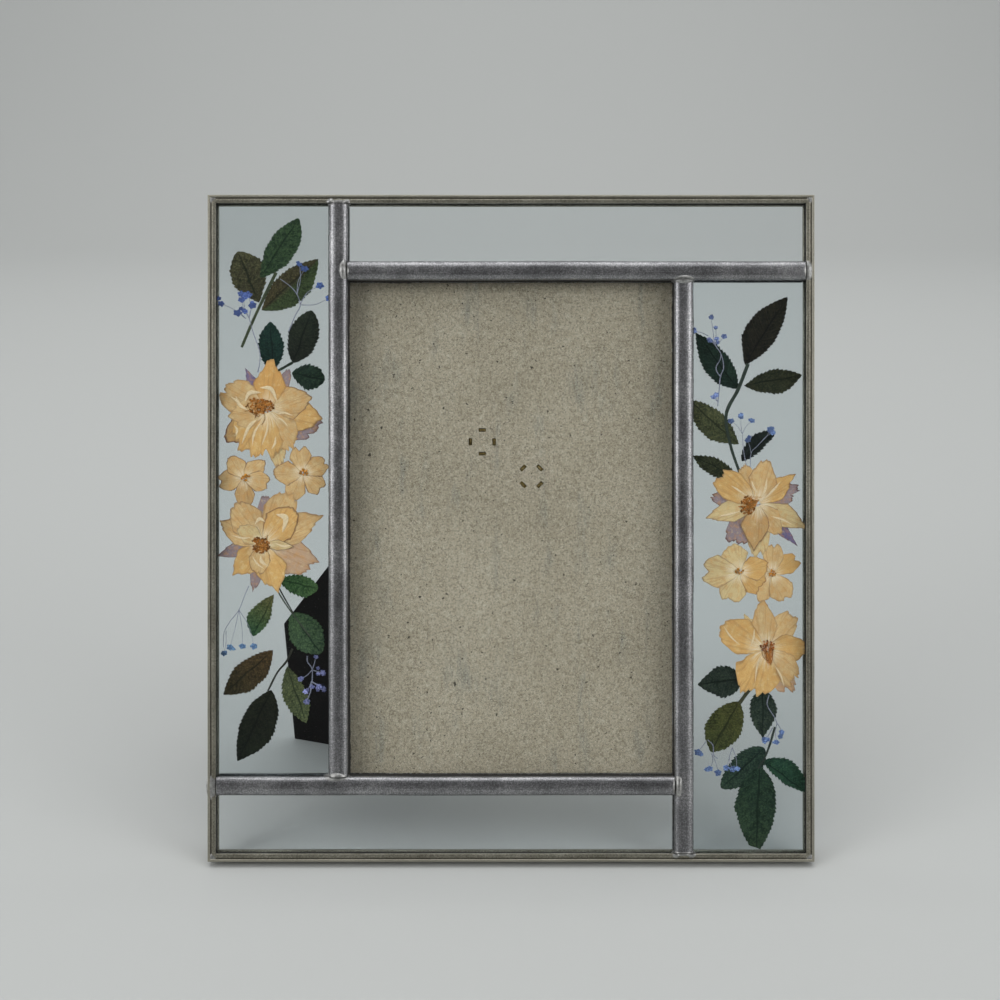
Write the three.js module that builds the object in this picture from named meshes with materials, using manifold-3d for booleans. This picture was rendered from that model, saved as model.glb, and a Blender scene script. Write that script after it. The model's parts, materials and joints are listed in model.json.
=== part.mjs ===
// Pressed flower frame: a leaded-glass picture frame that leans back on a two-way easel leg. Rose leaflets
// and flowers are sealed between double panes at its left and right. Millimetres, +Z up, front facing -Y,
// origin on the table at the middle of the footprint.
//
// The frame's own plane: x to the right and z up from its middle, y from its back face towards the back.

import * as THREE from 'three';
import { mergeVertices } from 'three/addons/utils/BufferGeometryUtils.js';
import Module from 'manifold-3d';

const wasm = await Module();
wasm.setup();

// Driving dimensions
const FRAME_WIDTH = 182;
const FRAME_HEIGHT = 200;
const SIGHT_WIDTH = 98;
const SIGHT_HEIGHT = 149;
const LEAN = THREE.MathUtils.degToRad(16);
const LEG_OPENING = THREE.MathUtils.degToRad(33);
const HINGE_SKEW = THREE.MathUtils.degToRad(40);
const GAP = 0.3;

// Cames: lead strips of U section round the border and of H section inside
const CAME_DEPTH = 7.4;
const CAME_FLANGE = 1.3;
const BORDER_FACE = 2.7;
const BORDER_WEB = 1.0;
const BORDER_CHAMFER = 0.3;
const BORDER_LIP = 0.8;
const BORDER_STEP = 0.2;
const INNER_FACE = 5.7;
const INNER_HEART = 1.2;
const CROWN_RISE = 1.6;
const CROWN_EDGE = 0.3;
const CHANNEL_FRONT = CAME_FLANGE - CAME_DEPTH;
const CHANNEL_BACK = -CAME_FLANGE;

// Glass
const PLANT_GLASS = 1.7;
const CLEAR_GLASS = 3;
const GLASS_PLAY = 0.1;
const BORDER_BITE = BORDER_WEB + GAP;
const HEART_BITE = INNER_HEART / 2 + GAP;

// Pressed plants, in thin layers counted from the back pane
const PLANT_THICKNESS = 0.16;
const LAYER_PITCH = 0.28;
const FIRST_LAYER = CHANNEL_BACK - GLASS_PLAY - PLANT_GLASS - 0.06;

// Backing board and the angle strips that hold it
const BOARD_WIDTH = 102;
const BOARD_HEIGHT = 152;
const BOARD_THICKNESS = 2;
const STRIP_METAL = 0.8;
const STRIP_REACH = 2.3;
const STRIP_PLAY = 0.4;

// Easel hinge, in its own frame: x along the pin, z up across it, y towards the back
const HINGE_X = -5.7;
const HINGE_Z = 15.6;
const HINGE_Y = 4.6;
const PIN_RADIUS = 0.8;
const BORE_RADIUS = 1.05;
const KNUCKLE_RADIUS = 1.7;
const LEAF_HALF_WIDTH = 14;
const LEAF_METAL = 0.6;
const LEAF_TOP = 13;
const LEAF_EDGE = 2.2;
const KNUCKLE_SPLIT = 4.7;
const HEEL_HALF_WIDTH = 3.6;
const HEEL_METAL = 0.8;
const HEEL_TOP = 6;
const ROUND_STEPS = 20;

// Rivets
const PRONG_CIRCLE = 3.6;
const PRONG_WIDTH = 1.6;
const PRONG_METAL = 0.5;
const RIVET_HEAD = 4.4;
const BOARD_RIVETS = [
  { name: 'board_rivet_upper', x: -9.1, z: 6.2, turn: 0 - HINGE_SKEW },
  { name: 'board_rivet_lower', x: 9.1, z: 7.8, turn: Math.PI / 4 - HINGE_SKEW },
];
const LEG_RIVETS = [
  { name: 'leg_rivet_left', x: -8, z: -7.5 },
  { name: 'leg_rivet_right', x: 8, z: -7.5 },
];
const LEG_RIVET_SHANK = 1;
const LEG_RIVET_HEAD = 2.6;

// Easel leg: its foot edge is cut so that it lies flat on the table when the leg is open
const LEG_THICKNESS = 2;
const LEG_HALF_WIDTH = 23.2;
const LEG_FRONT = -0.8;
const LEG_TIP_X = 5;
const SIDE_CUT_ANGLE = THREE.MathUtils.degToRad(36);

const COLOURS = {
  border: 0x78766c,
  came: 0x85858a,
  glass: 0xcfd8da,
  board: 0x928c7e,
  strip: 0x6e6c66,
  hinge: 0x8d7a4c,
  leg: 0x1c1b19,
  leaflet: 0x2f4330,
  flower: 0xe6c48c,
};

// A mesh with a material of its own
function part(name, geometry, colour, finish) {
  const material = new THREE.MeshStandardMaterial({ color: colour, ...finish });
  const mesh = new THREE.Mesh(geometry, material);
  mesh.name = name;
  return mesh;
}

const METAL = { roughness: 0.45, metalness: 0.9 };
const DULL = { roughness: 0.9, metalness: 0 };
const CLEAR = { roughness: 0.05, metalness: 0, transparent: true, opacity: 0.35 };

// A closed geometry as a solid that can be joined and cut
function solid(geometry) {
  const bare = geometry.clone();
  bare.deleteAttribute('normal');
  bare.deleteAttribute('uv');
  const merged = mergeVertices(bare, 1e-4);
  return new wasm.Manifold(new wasm.Mesh({
    numProp: 3,
    vertProperties: new Float32Array(merged.attributes.position.array),
    triVerts: new Uint32Array(merged.index.array),
  }));
}

// A joined or cut solid as a geometry again
function surface(body) {
  const mesh = body.getMesh();
  const geometry = new THREE.BufferGeometry();
  geometry.setAttribute('position', new THREE.BufferAttribute(new Float32Array(mesh.vertProperties), 3));
  geometry.setIndex(new THREE.BufferAttribute(new Uint32Array(mesh.triVerts), 1));
  geometry.computeVertexNormals();
  return geometry;
}

// A block between two limits on each axis
function block([x0, x1], [y0, y1], [z0, z1]) {
  const geometry = new THREE.BoxGeometry(x1 - x0, y1 - y0, z1 - z0);
  return geometry.translate((x0 + x1) / 2, (y0 + y1) / 2, (z0 + z1) / 2);
}

// A round bar along x
function bar(radius, x0, x1) {
  const geometry = new THREE.CylinderGeometry(radius, radius, x1 - x0, ROUND_STEPS);
  return geometry.rotateZ(Math.PI / 2).translate((x0 + x1) / 2, 0, 0);
}

// A flat sheet with its outline in x and z, and its back face at y = back
function sheet(outline, thickness, back) {
  const geometry = new THREE.ExtrudeGeometry(outline, {
    depth: thickness,
    bevelEnabled: false,
    curveSegments: 10,
  });
  return geometry.rotateX(Math.PI / 2).translate(0, back, 0);
}

function shapeOf(points) {
  return new THREE.Shape(points.map(([x, y]) => new THREE.Vector2(x, y)));
}

// U section of the border: x runs inwards from the outer edge, y from front to back
function borderSection() {
  const front = -CAME_DEPTH;
  const tip = BORDER_FACE - BORDER_CHAMFER;
  return shapeOf([
    [0, front + BORDER_CHAMFER],
    [BORDER_CHAMFER, front],
    [BORDER_LIP, front],
    [BORDER_LIP + BORDER_STEP, front + BORDER_STEP],
    [tip, front + BORDER_STEP],
    [BORDER_FACE, front + BORDER_STEP + BORDER_CHAMFER],
    [BORDER_FACE, CHANNEL_FRONT],
    [BORDER_WEB, CHANNEL_FRONT],
    [BORDER_WEB, CHANNEL_BACK],
    [BORDER_FACE, CHANNEL_BACK],
    [BORDER_FACE, 0],
    [0, 0],
  ]);
}

// One side of the border: the section drawn along z, with both ends mitred
function borderStrip(length) {
  const geometry = new THREE.ExtrudeGeometry(borderSection(), { depth: length, bevelEnabled: false });
  const place = geometry.attributes.position;
  for (let i = 0; i < place.count; i += 1) {
    const setback = place.getX(i) + GAP / 2;
    place.setZ(i, place.getZ(i) > length / 2 ? length - setback : setback);
  }
  geometry.computeVertexNormals();
  return geometry;
}

// H section of the inner came: a half-round front, a flat back and the heart between them
function innerSection() {
  const half = INNER_FACE / 2;
  const heart = INNER_HEART / 2;
  const edge = CHANNEL_FRONT - CROWN_EDGE;
  const section = new THREE.Shape();
  section.moveTo(-half, edge);
  section.absellipse(0, edge, half, CROWN_RISE, Math.PI, 2 * Math.PI, false, 0);
  section.lineTo(half, CHANNEL_FRONT);
  section.lineTo(heart, CHANNEL_FRONT);
  section.lineTo(heart, CHANNEL_BACK);
  section.lineTo(half, CHANNEL_BACK);
  section.lineTo(half, 0);
  section.lineTo(-half, 0);
  section.lineTo(-half, CHANNEL_BACK);
  section.lineTo(-heart, CHANNEL_BACK);
  section.lineTo(-heart, CHANNEL_FRONT);
  section.lineTo(-half, CHANNEL_FRONT);
  return section;
}

// Four mitred strips round the outside
function border() {
  const right = FRAME_WIDTH / 2;
  const top = FRAME_HEIGHT / 2;
  const sides = [
    { name: 'border_left', length: FRAME_HEIGHT, turn: 0, at: [-right, 0, -top] },
    { name: 'border_right', length: FRAME_HEIGHT, turn: Math.PI, at: [right, 0, top] },
    { name: 'border_bottom', length: FRAME_WIDTH, turn: -Math.PI / 2, at: [right, 0, -top] },
    { name: 'border_top', length: FRAME_WIDTH, turn: Math.PI / 2, at: [-right, 0, top] },
  ];
  return sides.map(({ name, length, turn, at }) => {
    const mesh = part(name, borderStrip(length), COLOURS.border, METAL);
    mesh.rotation.y = turn;
    mesh.position.set(...at);
    return mesh;
  });
}

// Where the inner cames lie: the middle of an upright from the middle of the frame, and of a rail
const UPRIGHT_X = (SIGHT_WIDTH + INNER_FACE) / 2;
const RAIL_Z = (SIGHT_HEIGHT + INNER_FACE) / 2;

// Four inner cames laid as a pinwheel: each one starts at the border and ends on the next one's side
function innerCames() {
  const insideX = FRAME_WIDTH / 2 - BORDER_FACE - GAP;
  const insideZ = FRAME_HEIGHT / 2 - BORDER_FACE - GAP;
  const sightX = SIGHT_WIDTH / 2 - GAP;
  const sightZ = SIGHT_HEIGHT / 2 - GAP;
  const uprights = [
    { name: 'left_upright', x: -UPRIGHT_X, from: -sightZ, to: insideZ },
    { name: 'right_upright', x: UPRIGHT_X, from: -insideZ, to: sightZ },
  ];
  const rails = [
    { name: 'top_rail', z: RAIL_Z, from: -sightX, to: insideX },
    { name: 'bottom_rail', z: -RAIL_Z, from: -insideX, to: sightX },
  ];
  const strip = (length) => new THREE.ExtrudeGeometry(innerSection(), {
    depth: length,
    bevelEnabled: false,
    curveSegments: 14,
  });
  return [
    ...uprights.map(({ name, x, from, to }) => {
      const mesh = part(name, strip(to - from), COLOURS.came, METAL);
      mesh.position.set(x, 0, from);
      return mesh;
    }),
    ...rails.map(({ name, z, from, to }) => {
      const mesh = part(name, strip(to - from), COLOURS.came, METAL);
      mesh.rotation.y = Math.PI / 2;
      mesh.position.set(from, 0, z);
      return mesh;
    }),
  ];
}

// A pane between limits in x and z, with its back face at y = back
function pane(name, xs, zs, thickness, back) {
  return part(name, block(xs, [back - thickness, back], zs), COLOURS.glass, CLEAR);
}

// Double panes at the sides for the plants, and single panes above, below and over the picture
function glazing() {
  const outerX = FRAME_WIDTH / 2 - BORDER_BITE;
  const outerZ = FRAME_HEIGHT / 2 - BORDER_BITE;
  const inX = UPRIGHT_X - HEART_BITE;
  const pastX = UPRIGHT_X + HEART_BITE;
  const inZ = RAIL_Z - HEART_BITE;
  const pastZ = RAIL_Z + HEART_BITE;
  const rear = CHANNEL_BACK - GLASS_PLAY;
  const front = CHANNEL_FRONT + GLASS_PLAY + PLANT_GLASS;
  const middle = (CHANNEL_FRONT + CHANNEL_BACK + CLEAR_GLASS) / 2;
  return [
    pane('left_pane_front', [-outerX, -pastX], [-inZ, outerZ], PLANT_GLASS, front),
    pane('left_pane_back', [-outerX, -pastX], [-inZ, outerZ], PLANT_GLASS, rear),
    pane('right_pane_front', [pastX, outerX], [-outerZ, inZ], PLANT_GLASS, front),
    pane('right_pane_back', [pastX, outerX], [-outerZ, inZ], PLANT_GLASS, rear),
    pane('top_pane', [-inX, outerX], [pastZ, outerZ], CLEAR_GLASS, middle),
    pane('bottom_pane', [-outerX, inX], [-outerZ, -pastZ], CLEAR_GLASS, middle),
    pane('picture_pane', [-inX, inX], [-inZ, inZ], CLEAR_GLASS, middle),
  ];
}

// A leaflet's outline: a midrib from base to tip, bowed sideways, with a belly on each side of it
function leafletOutline({ base, tip, width, bow }) {
  const along = new THREE.Vector2(tip[0] - base[0], tip[1] - base[1]);
  const across = new THREE.Vector2(-along.y, along.x).normalize();
  const steps = 11;
  const edge = (side) => Array.from({ length: steps - 1 }, (_, i) => {
    const t = (i + 1) / steps;
    const half = (width / 2) * Math.sin(Math.PI * t ** 0.9) ** 0.8;
    const offset = bow * Math.sin(Math.PI * t) + side * half;
    return [base[0] + along.x * t + across.x * offset, base[1] + along.y * t + across.y * offset];
  });
  return shapeOf([base, ...edge(-1), tip, ...edge(1).reverse()]);
}

// A flower's outline: rounded lobes, one to each petal that shows
function flowerOutline({ centre, reach, lobes, turn }) {
  const steps = lobes * 8;
  return shapeOf(Array.from({ length: steps }, (_, i) => {
    const angle = (i / steps) * 2 * Math.PI;
    const lobe = Math.abs(Math.cos((lobes / 2) * (angle - turn))) ** 0.6;
    const radius = 0.72 + 0.28 * lobe;
    return [
      centre[0] + reach[0] * radius * Math.cos(angle),
      centre[1] + reach[1] * radius * Math.sin(angle),
    ];
  }));
}

// Leaflets in each side pane: where the midrib starts and ends, the width, the bow and the layer
const LEFT_LEAFLETS = [
  { base: [-74.9, 75.6], tip: [-64.1, 93.3], width: 8.1, bow: 0, layer: 2 },
  { base: [-75.5, 67.5], tip: [-82.4, 83.1], width: 9.4, bow: -1, layer: 1 },
  { base: [-74.6, 65.1], tip: [-57.9, 80.7], width: 10, bow: 0, layer: 0 },
  { base: [-71, 47.5], tip: [-71.6, 61.8], width: 7.6, bow: 0, layer: 0 },
  { base: [-65.6, 49.6], tip: [-60, 65.1], width: 8.8, bow: 0, layer: 0 },
  { base: [-66.2, 46.9], tip: [-56.1, 44.8], width: 7, bow: 0, layer: 1 },
  { base: [-70.7, -16.4], tip: [-58.2, -18.2], width: 8, bow: 0, layer: 0 },
  { base: [-71.6, -20], tip: [-77.9, -32.7], width: 7.8, bow: 0, layer: 0 },
  { base: [-66.2, -25.7], tip: [-57.3, -37.8], width: 10.8, bow: 0, layer: 1 },
  { base: [-71.9, -36.8], tip: [-86.9, -50.3], width: 10.6, bow: 0, layer: 1 },
  { base: [-72.2, -48.9], tip: [-82.7, -70.4], width: 11.6, bow: 0, layer: 0 },
  { base: [-67.7, -41.7], tip: [-61.8, -59], width: 8.2, bow: 0, layer: 0 },
];
const RIGHT_LEAFLETS = [
  { base: [70.7, 49.3], tip: [83.6, 69.9], width: 10.4, bow: 0, layer: 1 },
  { base: [68.6, 42.1], tip: [55.8, 59.1], width: 9.4, bow: 0, layer: 0 },
  { base: [70.4, 43], tip: [88, 46.3], width: 7.6, bow: 0, layer: 0 },
  { base: [68.9, 25.3], tip: [55.4, 38], width: 10.6, bow: 0, layer: 0 },
  { base: [68.9, 14.8], tip: [54.7, 22], width: 6.6, bow: 0, layer: 1 },
  { base: [69.8, 20.2], tip: [80, 29.5], width: 5.4, bow: 0, layer: 0 },
  { base: [69.8, -45.8], tip: [56.4, -47.3], width: 8, bow: 0, layer: 0 },
  { base: [68.9, -52.4], tip: [60.3, -67.1], width: 10, bow: 0, layer: 0 },
  { base: [75.8, -49.7], tip: [76.1, -63.2], width: 7.4, bow: 0, layer: 1 },
  { base: [75.8, -65], tip: [63.8, -78.4], width: 10, bow: 0, layer: 0 },
  { base: [74.3, -72.2], tip: [72.2, -96.4], width: 12, bow: 0, layer: 1 },
  { base: [76.1, -69.2], tip: [88.6, -78], width: 7, bow: 0, layer: 0 },
];

// Flowers: the middle, the reach sideways and upwards, the lobes, the first lobe's angle and the layer
const FLOWERS = [
  { name: 'flower_left_upper', centre: [-72.5, 34.6], reach: [15.4, 15], lobes: 6, turn: 1.6, layer: 3 },
  { name: 'flower_left_outer', centre: [-80.8, 14.8], reach: [7.4, 7.4], lobes: 5, turn: 1.6, layer: 2 },
  { name: 'flower_left_inner', centre: [-63.4, 16.8], reach: [7.9, 7.7], lobes: 5, turn: 1.6, layer: 2 },
  { name: 'flower_left_lower', centre: [-73.2, -4.4], reach: [15, 14], lobes: 6, turn: 1.2, layer: 3 },
  { name: 'flower_right_upper', centre: [73.8, 6.4], reach: [14, 14], lobes: 6, turn: 1.4, layer: 3 },
  { name: 'flower_right_inner', centre: [66.6, -14.4], reach: [9, 8.2], lobes: 5, turn: 1.6, layer: 2 },
  { name: 'flower_right_outer', centre: [80.2, -14], reach: [7.6, 9], lobes: 5, turn: 1.6, layer: 1 },
  { name: 'flower_right_lower', centre: [76.2, -36.6], reach: [12.8, 14], lobes: 6, turn: 1.6, layer: 3 },
];

// The back face of a plant layer
function layerBack(layer) {
  return FIRST_LAYER - layer * LAYER_PITCH;
}

function leaflets(side, list) {
  return list.map((leaflet, index) => {
    const name = `leaflet_${side}_${String(index + 1).padStart(2, '0')}`;
    const geometry = sheet(leafletOutline(leaflet), PLANT_THICKNESS, layerBack(leaflet.layer));
    return part(name, geometry, COLOURS.leaflet, DULL);
  });
}

function flowers() {
  return FLOWERS.map((flower) => {
    const geometry = sheet(flowerOutline(flower), PLANT_THICKNESS, layerBack(flower.layer));
    return part(flower.name, geometry, COLOURS.flower, DULL);
  });
}

// Four slots or four prongs on a circle, from front to back, as blocks in the hinge's frame
function prongBlocks({ x, z, turn }, margin, [front, back]) {
  return Array.from({ length: 4 }, (_, i) => {
    const half = PRONG_WIDTH / 2 + margin;
    const inner = PRONG_CIRCLE - PRONG_METAL / 2 - margin;
    const outer = PRONG_CIRCLE + PRONG_METAL / 2 + margin;
    const prong = block([inner, outer], [front, back], [-half, half]);
    return prong.rotateY(turn + (i * Math.PI) / 2).translate(x, 0, z);
  });
}

// Depths across the hinge, from its axis
const BOARD_FRONT = GAP - HINGE_Y;
const BOARD_BACK = BOARD_FRONT + BOARD_THICKNESS;
const BOARD_LEAF_FRONT = BOARD_BACK + GAP;
const BOARD_LEAF_BACK = BOARD_LEAF_FRONT + LEAF_METAL;
const LEG_LEAF_BACK = LEG_FRONT - GAP;
const LEG_LEAF_FRONT = LEG_LEAF_BACK - LEAF_METAL;

// The greyboard back, with a slot for each rivet prong
function backingBoard(hingeFrame) {
  const halfWidth = BOARD_WIDTH / 2;
  const halfHeight = BOARD_HEIGHT / 2;
  let board = solid(block(
    [-halfWidth, halfWidth],
    [GAP, GAP + BOARD_THICKNESS],
    [-halfHeight, halfHeight],
  ));
  for (const rivet of BOARD_RIVETS) {
    for (const slot of prongBlocks(rivet, GAP, [BOARD_FRONT - 1, BOARD_BACK + 1])) {
      board = board.subtract(solid(slot.applyMatrix4(hingeFrame)));
    }
  }
  return part('backing_board', surface(board), COLOURS.board, DULL);
}

// Angle strips on the backs of the inner cames: a web beside the board and a flange behind its edge
function boardStrips() {
  const web = BOARD_WIDTH / 2 + STRIP_PLAY;
  const low = BOARD_HEIGHT / 2 + STRIP_PLAY;
  const back = GAP + BOARD_THICKNESS + GAP + STRIP_METAL;
  const section = shapeOf([
    [0, GAP],
    [STRIP_METAL, GAP],
    [STRIP_METAL, back],
    [-STRIP_REACH, back],
    [-STRIP_REACH, back - STRIP_METAL],
    [0, back - STRIP_METAL],
  ]);
  const height = low + STRIP_METAL + BOARD_HEIGHT / 2;
  const width = 2 * (web - STRIP_REACH - GAP);
  const upright = new THREE.ExtrudeGeometry(section, { depth: height, bevelEnabled: false });
  const right = part('board_channel_right', upright, COLOURS.strip, METAL);
  right.position.set(web, 0, -low - STRIP_METAL);
  const mirrored = surface(solid(upright).mirror([1, 0, 0]));
  const left = part('board_channel_left', mirrored, COLOURS.strip, METAL);
  left.position.set(-web, 0, -low - STRIP_METAL);
  const level = new THREE.ExtrudeGeometry(section, { depth: width, bevelEnabled: false });
  const bottom = part('board_channel_bottom', level, COLOURS.strip, METAL);
  bottom.rotation.y = Math.PI / 2;
  bottom.position.set(-width / 2, 0, -low);
  return [left, right, bottom];
}

// The leaf on the board: a plate above the pin with a knuckle at each end
function boardLeaf() {
  const depth = [BOARD_LEAF_FRONT, BOARD_LEAF_BACK];
  let leaf = solid(block([-LEAF_HALF_WIDTH, LEAF_HALF_WIDTH], depth, [LEAF_EDGE, LEAF_TOP]));
  for (const [from, to] of [[-LEAF_HALF_WIDTH, -KNUCKLE_SPLIT - GAP], [KNUCKLE_SPLIT + GAP, LEAF_HALF_WIDTH]]) {
    leaf = leaf.add(solid(block([from, to], depth, [0, LEAF_EDGE + GAP])));
    leaf = leaf.add(solid(bar(KNUCKLE_RADIUS, from, to)));
  }
  leaf = leaf.subtract(solid(bar(BORE_RADIUS, -2 * LEAF_HALF_WIDTH, 2 * LEAF_HALF_WIDTH)));
  for (const rivet of BOARD_RIVETS) {
    for (const slot of prongBlocks(rivet, GAP, [BOARD_LEAF_FRONT - 1, BOARD_LEAF_BACK + 1])) {
      leaf = leaf.subtract(solid(slot));
    }
  }
  return part('hinge_board_leaf', surface(leaf), COLOURS.hinge, METAL);
}

// The pin, with a small head at each end
function hingePin() {
  const headFrom = LEAF_HALF_WIDTH + GAP;
  const headTo = headFrom + 0.8;
  const headRadius = PIN_RADIUS + 0.5;
  const profile = [
    [0, -headTo],
    [headRadius, -headTo],
    [headRadius, -headFrom],
    [PIN_RADIUS, -headFrom],
    [PIN_RADIUS, headFrom],
    [headRadius, headFrom],
    [headRadius, headTo],
    [0, headTo],
  ].map(([r, h]) => new THREE.Vector2(r, h));
  const geometry = new THREE.LatheGeometry(profile, 12).rotateZ(Math.PI / 2);
  return part('hinge_pin', geometry, COLOURS.hinge, METAL);
}

// The leaf on the leg: a plate below the pin, the middle knuckle, and a heel that stops the leg when open
function legLeaf() {
  const depth = [LEG_LEAF_FRONT, LEG_LEAF_BACK];
  const heelFront = BOARD_LEAF_BACK + GAP;
  const heel = block(
    [-HEEL_HALF_WIDTH, HEEL_HALF_WIDTH],
    [heelFront, heelFront + HEEL_METAL],
    [BORE_RADIUS / 2, HEEL_TOP],
  ).rotateX(-LEG_OPENING);
  let leaf = solid(block([-LEAF_HALF_WIDTH, LEAF_HALF_WIDTH], depth, [-LEAF_TOP, -LEAF_EDGE]));
  leaf = leaf.add(solid(block([-KNUCKLE_SPLIT, KNUCKLE_SPLIT], depth, [-LEAF_EDGE - GAP, 0])));
  leaf = leaf.add(solid(bar(KNUCKLE_RADIUS, -KNUCKLE_SPLIT, KNUCKLE_SPLIT)));
  leaf = leaf.add(solid(heel));
  leaf = leaf.subtract(solid(bar(BORE_RADIUS, -2 * KNUCKLE_SPLIT, 2 * KNUCKLE_SPLIT)));
  for (const { x, z } of LEG_RIVETS) {
    const hole = new THREE.CylinderGeometry(LEG_RIVET_SHANK + GAP, LEG_RIVET_SHANK + GAP, 6, ROUND_STEPS);
    leaf = leaf.subtract(solid(hole.translate(x, 0, z)));
  }
  return part('hinge_leg_leaf', surface(leaf), COLOURS.hinge, METAL);
}

// A rivet with a low domed head on the leaf and four prongs that reach the front of the board
function boardRivet(rivet) {
  const foot = BOARD_LEAF_BACK + GAP;
  const profile = [
    [0, foot],
    [RIVET_HEAD, foot],
    [RIVET_HEAD - 0.3, foot + 0.5],
    [RIVET_HEAD - 1.6, foot + 0.9],
    [0, foot + 1.1],
  ].map(([r, h]) => new THREE.Vector2(r, h));
  let body = solid(new THREE.LatheGeometry(profile, ROUND_STEPS).translate(rivet.x, 0, rivet.z));
  for (const prong of prongBlocks(rivet, 0, [BOARD_FRONT + 0.1, foot + 0.2])) {
    body = body.add(solid(prong));
  }
  return part(rivet.name, surface(body), COLOURS.hinge, METAL);
}

// A rivet with a domed head behind the leg and a shank flush with the leaf
function legRivet({ name, x, z }) {
  const seat = LEG_FRONT + LEG_THICKNESS + GAP;
  const profile = [
    [0, LEG_LEAF_FRONT],
    [LEG_RIVET_SHANK, LEG_LEAF_FRONT],
    [LEG_RIVET_SHANK, seat],
    [LEG_RIVET_HEAD, seat],
    [LEG_RIVET_HEAD - 0.4, seat + 0.6],
    [LEG_RIVET_HEAD - 1.4, seat + 1],
    [0, seat + 1.1],
  ].map(([r, h]) => new THREE.Vector2(r, h));
  const geometry = new THREE.LatheGeometry(profile, ROUND_STEPS).translate(x, 0, z);
  return part(name, geometry, COLOURS.hinge, METAL);
}

// The leg's outline below the hinge. With the leg open, the foot edge is level and lies on the table:
// rise is how much height each millimetre up the leg gains, and fall how much each one to the right loses.
function legOutline() {
  const upX = Math.cos(HINGE_SKEW) * Math.cos(LEAN);
  const rise = Math.cos(LEG_OPENING) * upX + Math.sin(LEG_OPENING) * Math.sin(LEAN);
  const fall = Math.sin(HINGE_SKEW) * Math.cos(LEAN);
  const outward = Math.sin(LEG_OPENING) * upX - Math.cos(LEG_OPENING) * Math.sin(LEAN);
  const hingeHeight = (FRAME_HEIGHT / 2 + HINGE_Z) * Math.cos(LEAN) - HINGE_Y * Math.sin(LEAN);
  const footAt = (x) => -(hingeHeight - x * fall + LEG_FRONT * outward) / rise;
  const tip = footAt(LEG_TIP_X);
  const sideRise = (LEG_TIP_X + LEG_HALF_WIDTH) / Math.tan(SIDE_CUT_ANGLE);
  const outline = shapeOf([
    [-LEG_HALF_WIDTH, -LEAF_EDGE],
    [-LEG_HALF_WIDTH, tip + sideRise],
    [LEG_TIP_X, tip],
    [LEG_HALF_WIDTH, footAt(LEG_HALF_WIDTH)],
    [LEG_HALF_WIDTH, -LEAF_EDGE],
  ]);
  for (const { x, z } of LEG_RIVETS) {
    const hole = new THREE.Path();
    hole.absarc(x, z, LEG_RIVET_SHANK + GAP, 0, 2 * Math.PI, true);
    outline.holes.push(hole);
  }
  return outline;
}

// Everything fixed to the hinge's frame, and the leg turned open inside it
function easel() {
  const hinge = new THREE.Group();
  hinge.rotation.y = HINGE_SKEW;
  hinge.position.set(HINGE_X, HINGE_Y, HINGE_Z);
  hinge.add(boardLeaf(), hingePin(), ...BOARD_RIVETS.map(boardRivet));
  const leg = new THREE.Group();
  leg.rotation.x = LEG_OPENING;
  const board = sheet(legOutline(), LEG_THICKNESS, LEG_FRONT + LEG_THICKNESS);
  leg.add(part('easel_leg', board, COLOURS.leg, DULL), legLeaf(), ...LEG_RIVETS.map(legRivet));
  hinge.add(leg);
  hinge.updateMatrix();
  return hinge;
}

// The frame leans about its bottom back edge, which lies on the table
function pressedFlowerFrame() {
  const hinge = easel();
  const flat = new THREE.Group();
  flat.position.z = FRAME_HEIGHT / 2;
  flat.add(
    ...border(),
    ...innerCames(),
    ...glazing(),
    ...leaflets('left', LEFT_LEAFLETS),
    ...leaflets('right', RIGHT_LEAFLETS),
    ...flowers(),
    backingBoard(hinge.matrix),
    ...boardStrips(),
    hinge,
  );
  const leaning = new THREE.Group();
  leaning.rotation.x = -LEAN;
  leaning.add(flat);
  const whole = new THREE.Group();
  whole.add(leaning);
  whole.updateMatrixWorld(true);
  const extent = new THREE.Box3().setFromObject(whole, true);
  leaning.position.y = -(extent.min.y + extent.max.y) / 2;
  leaning.position.z = -extent.min.z;
  return whole;
}

export default pressedFlowerFrame();
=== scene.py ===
import json
import math

import bmesh
import bpy
import numpy as np
from mathutils import Matrix, Vector


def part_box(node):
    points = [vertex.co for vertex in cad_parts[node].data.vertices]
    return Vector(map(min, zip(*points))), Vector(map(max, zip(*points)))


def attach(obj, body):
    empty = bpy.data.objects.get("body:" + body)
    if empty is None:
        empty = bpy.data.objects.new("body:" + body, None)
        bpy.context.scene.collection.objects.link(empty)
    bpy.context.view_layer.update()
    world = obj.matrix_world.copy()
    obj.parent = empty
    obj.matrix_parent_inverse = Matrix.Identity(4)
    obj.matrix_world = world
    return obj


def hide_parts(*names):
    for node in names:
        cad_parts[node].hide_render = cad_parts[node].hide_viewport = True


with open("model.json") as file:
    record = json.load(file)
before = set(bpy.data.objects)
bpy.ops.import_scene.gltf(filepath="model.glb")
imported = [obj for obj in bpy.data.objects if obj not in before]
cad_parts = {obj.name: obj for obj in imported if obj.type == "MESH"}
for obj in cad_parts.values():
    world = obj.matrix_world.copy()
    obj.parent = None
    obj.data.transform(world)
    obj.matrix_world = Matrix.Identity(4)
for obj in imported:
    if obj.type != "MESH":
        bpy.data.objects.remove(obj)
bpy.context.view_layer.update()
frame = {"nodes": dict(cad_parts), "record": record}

# --- The leaning plane ------------------------------------------------------------------------------------
# The frame is made flat on a bench, then stands leaning back on its lower back edge and its easel leg.
# Every piece is laid out as on the bench, in millimetres across, back and up from the middle of the
# picture glass, and then placed on the leaning plane. The underside of the bottom came gives the lean.

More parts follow.
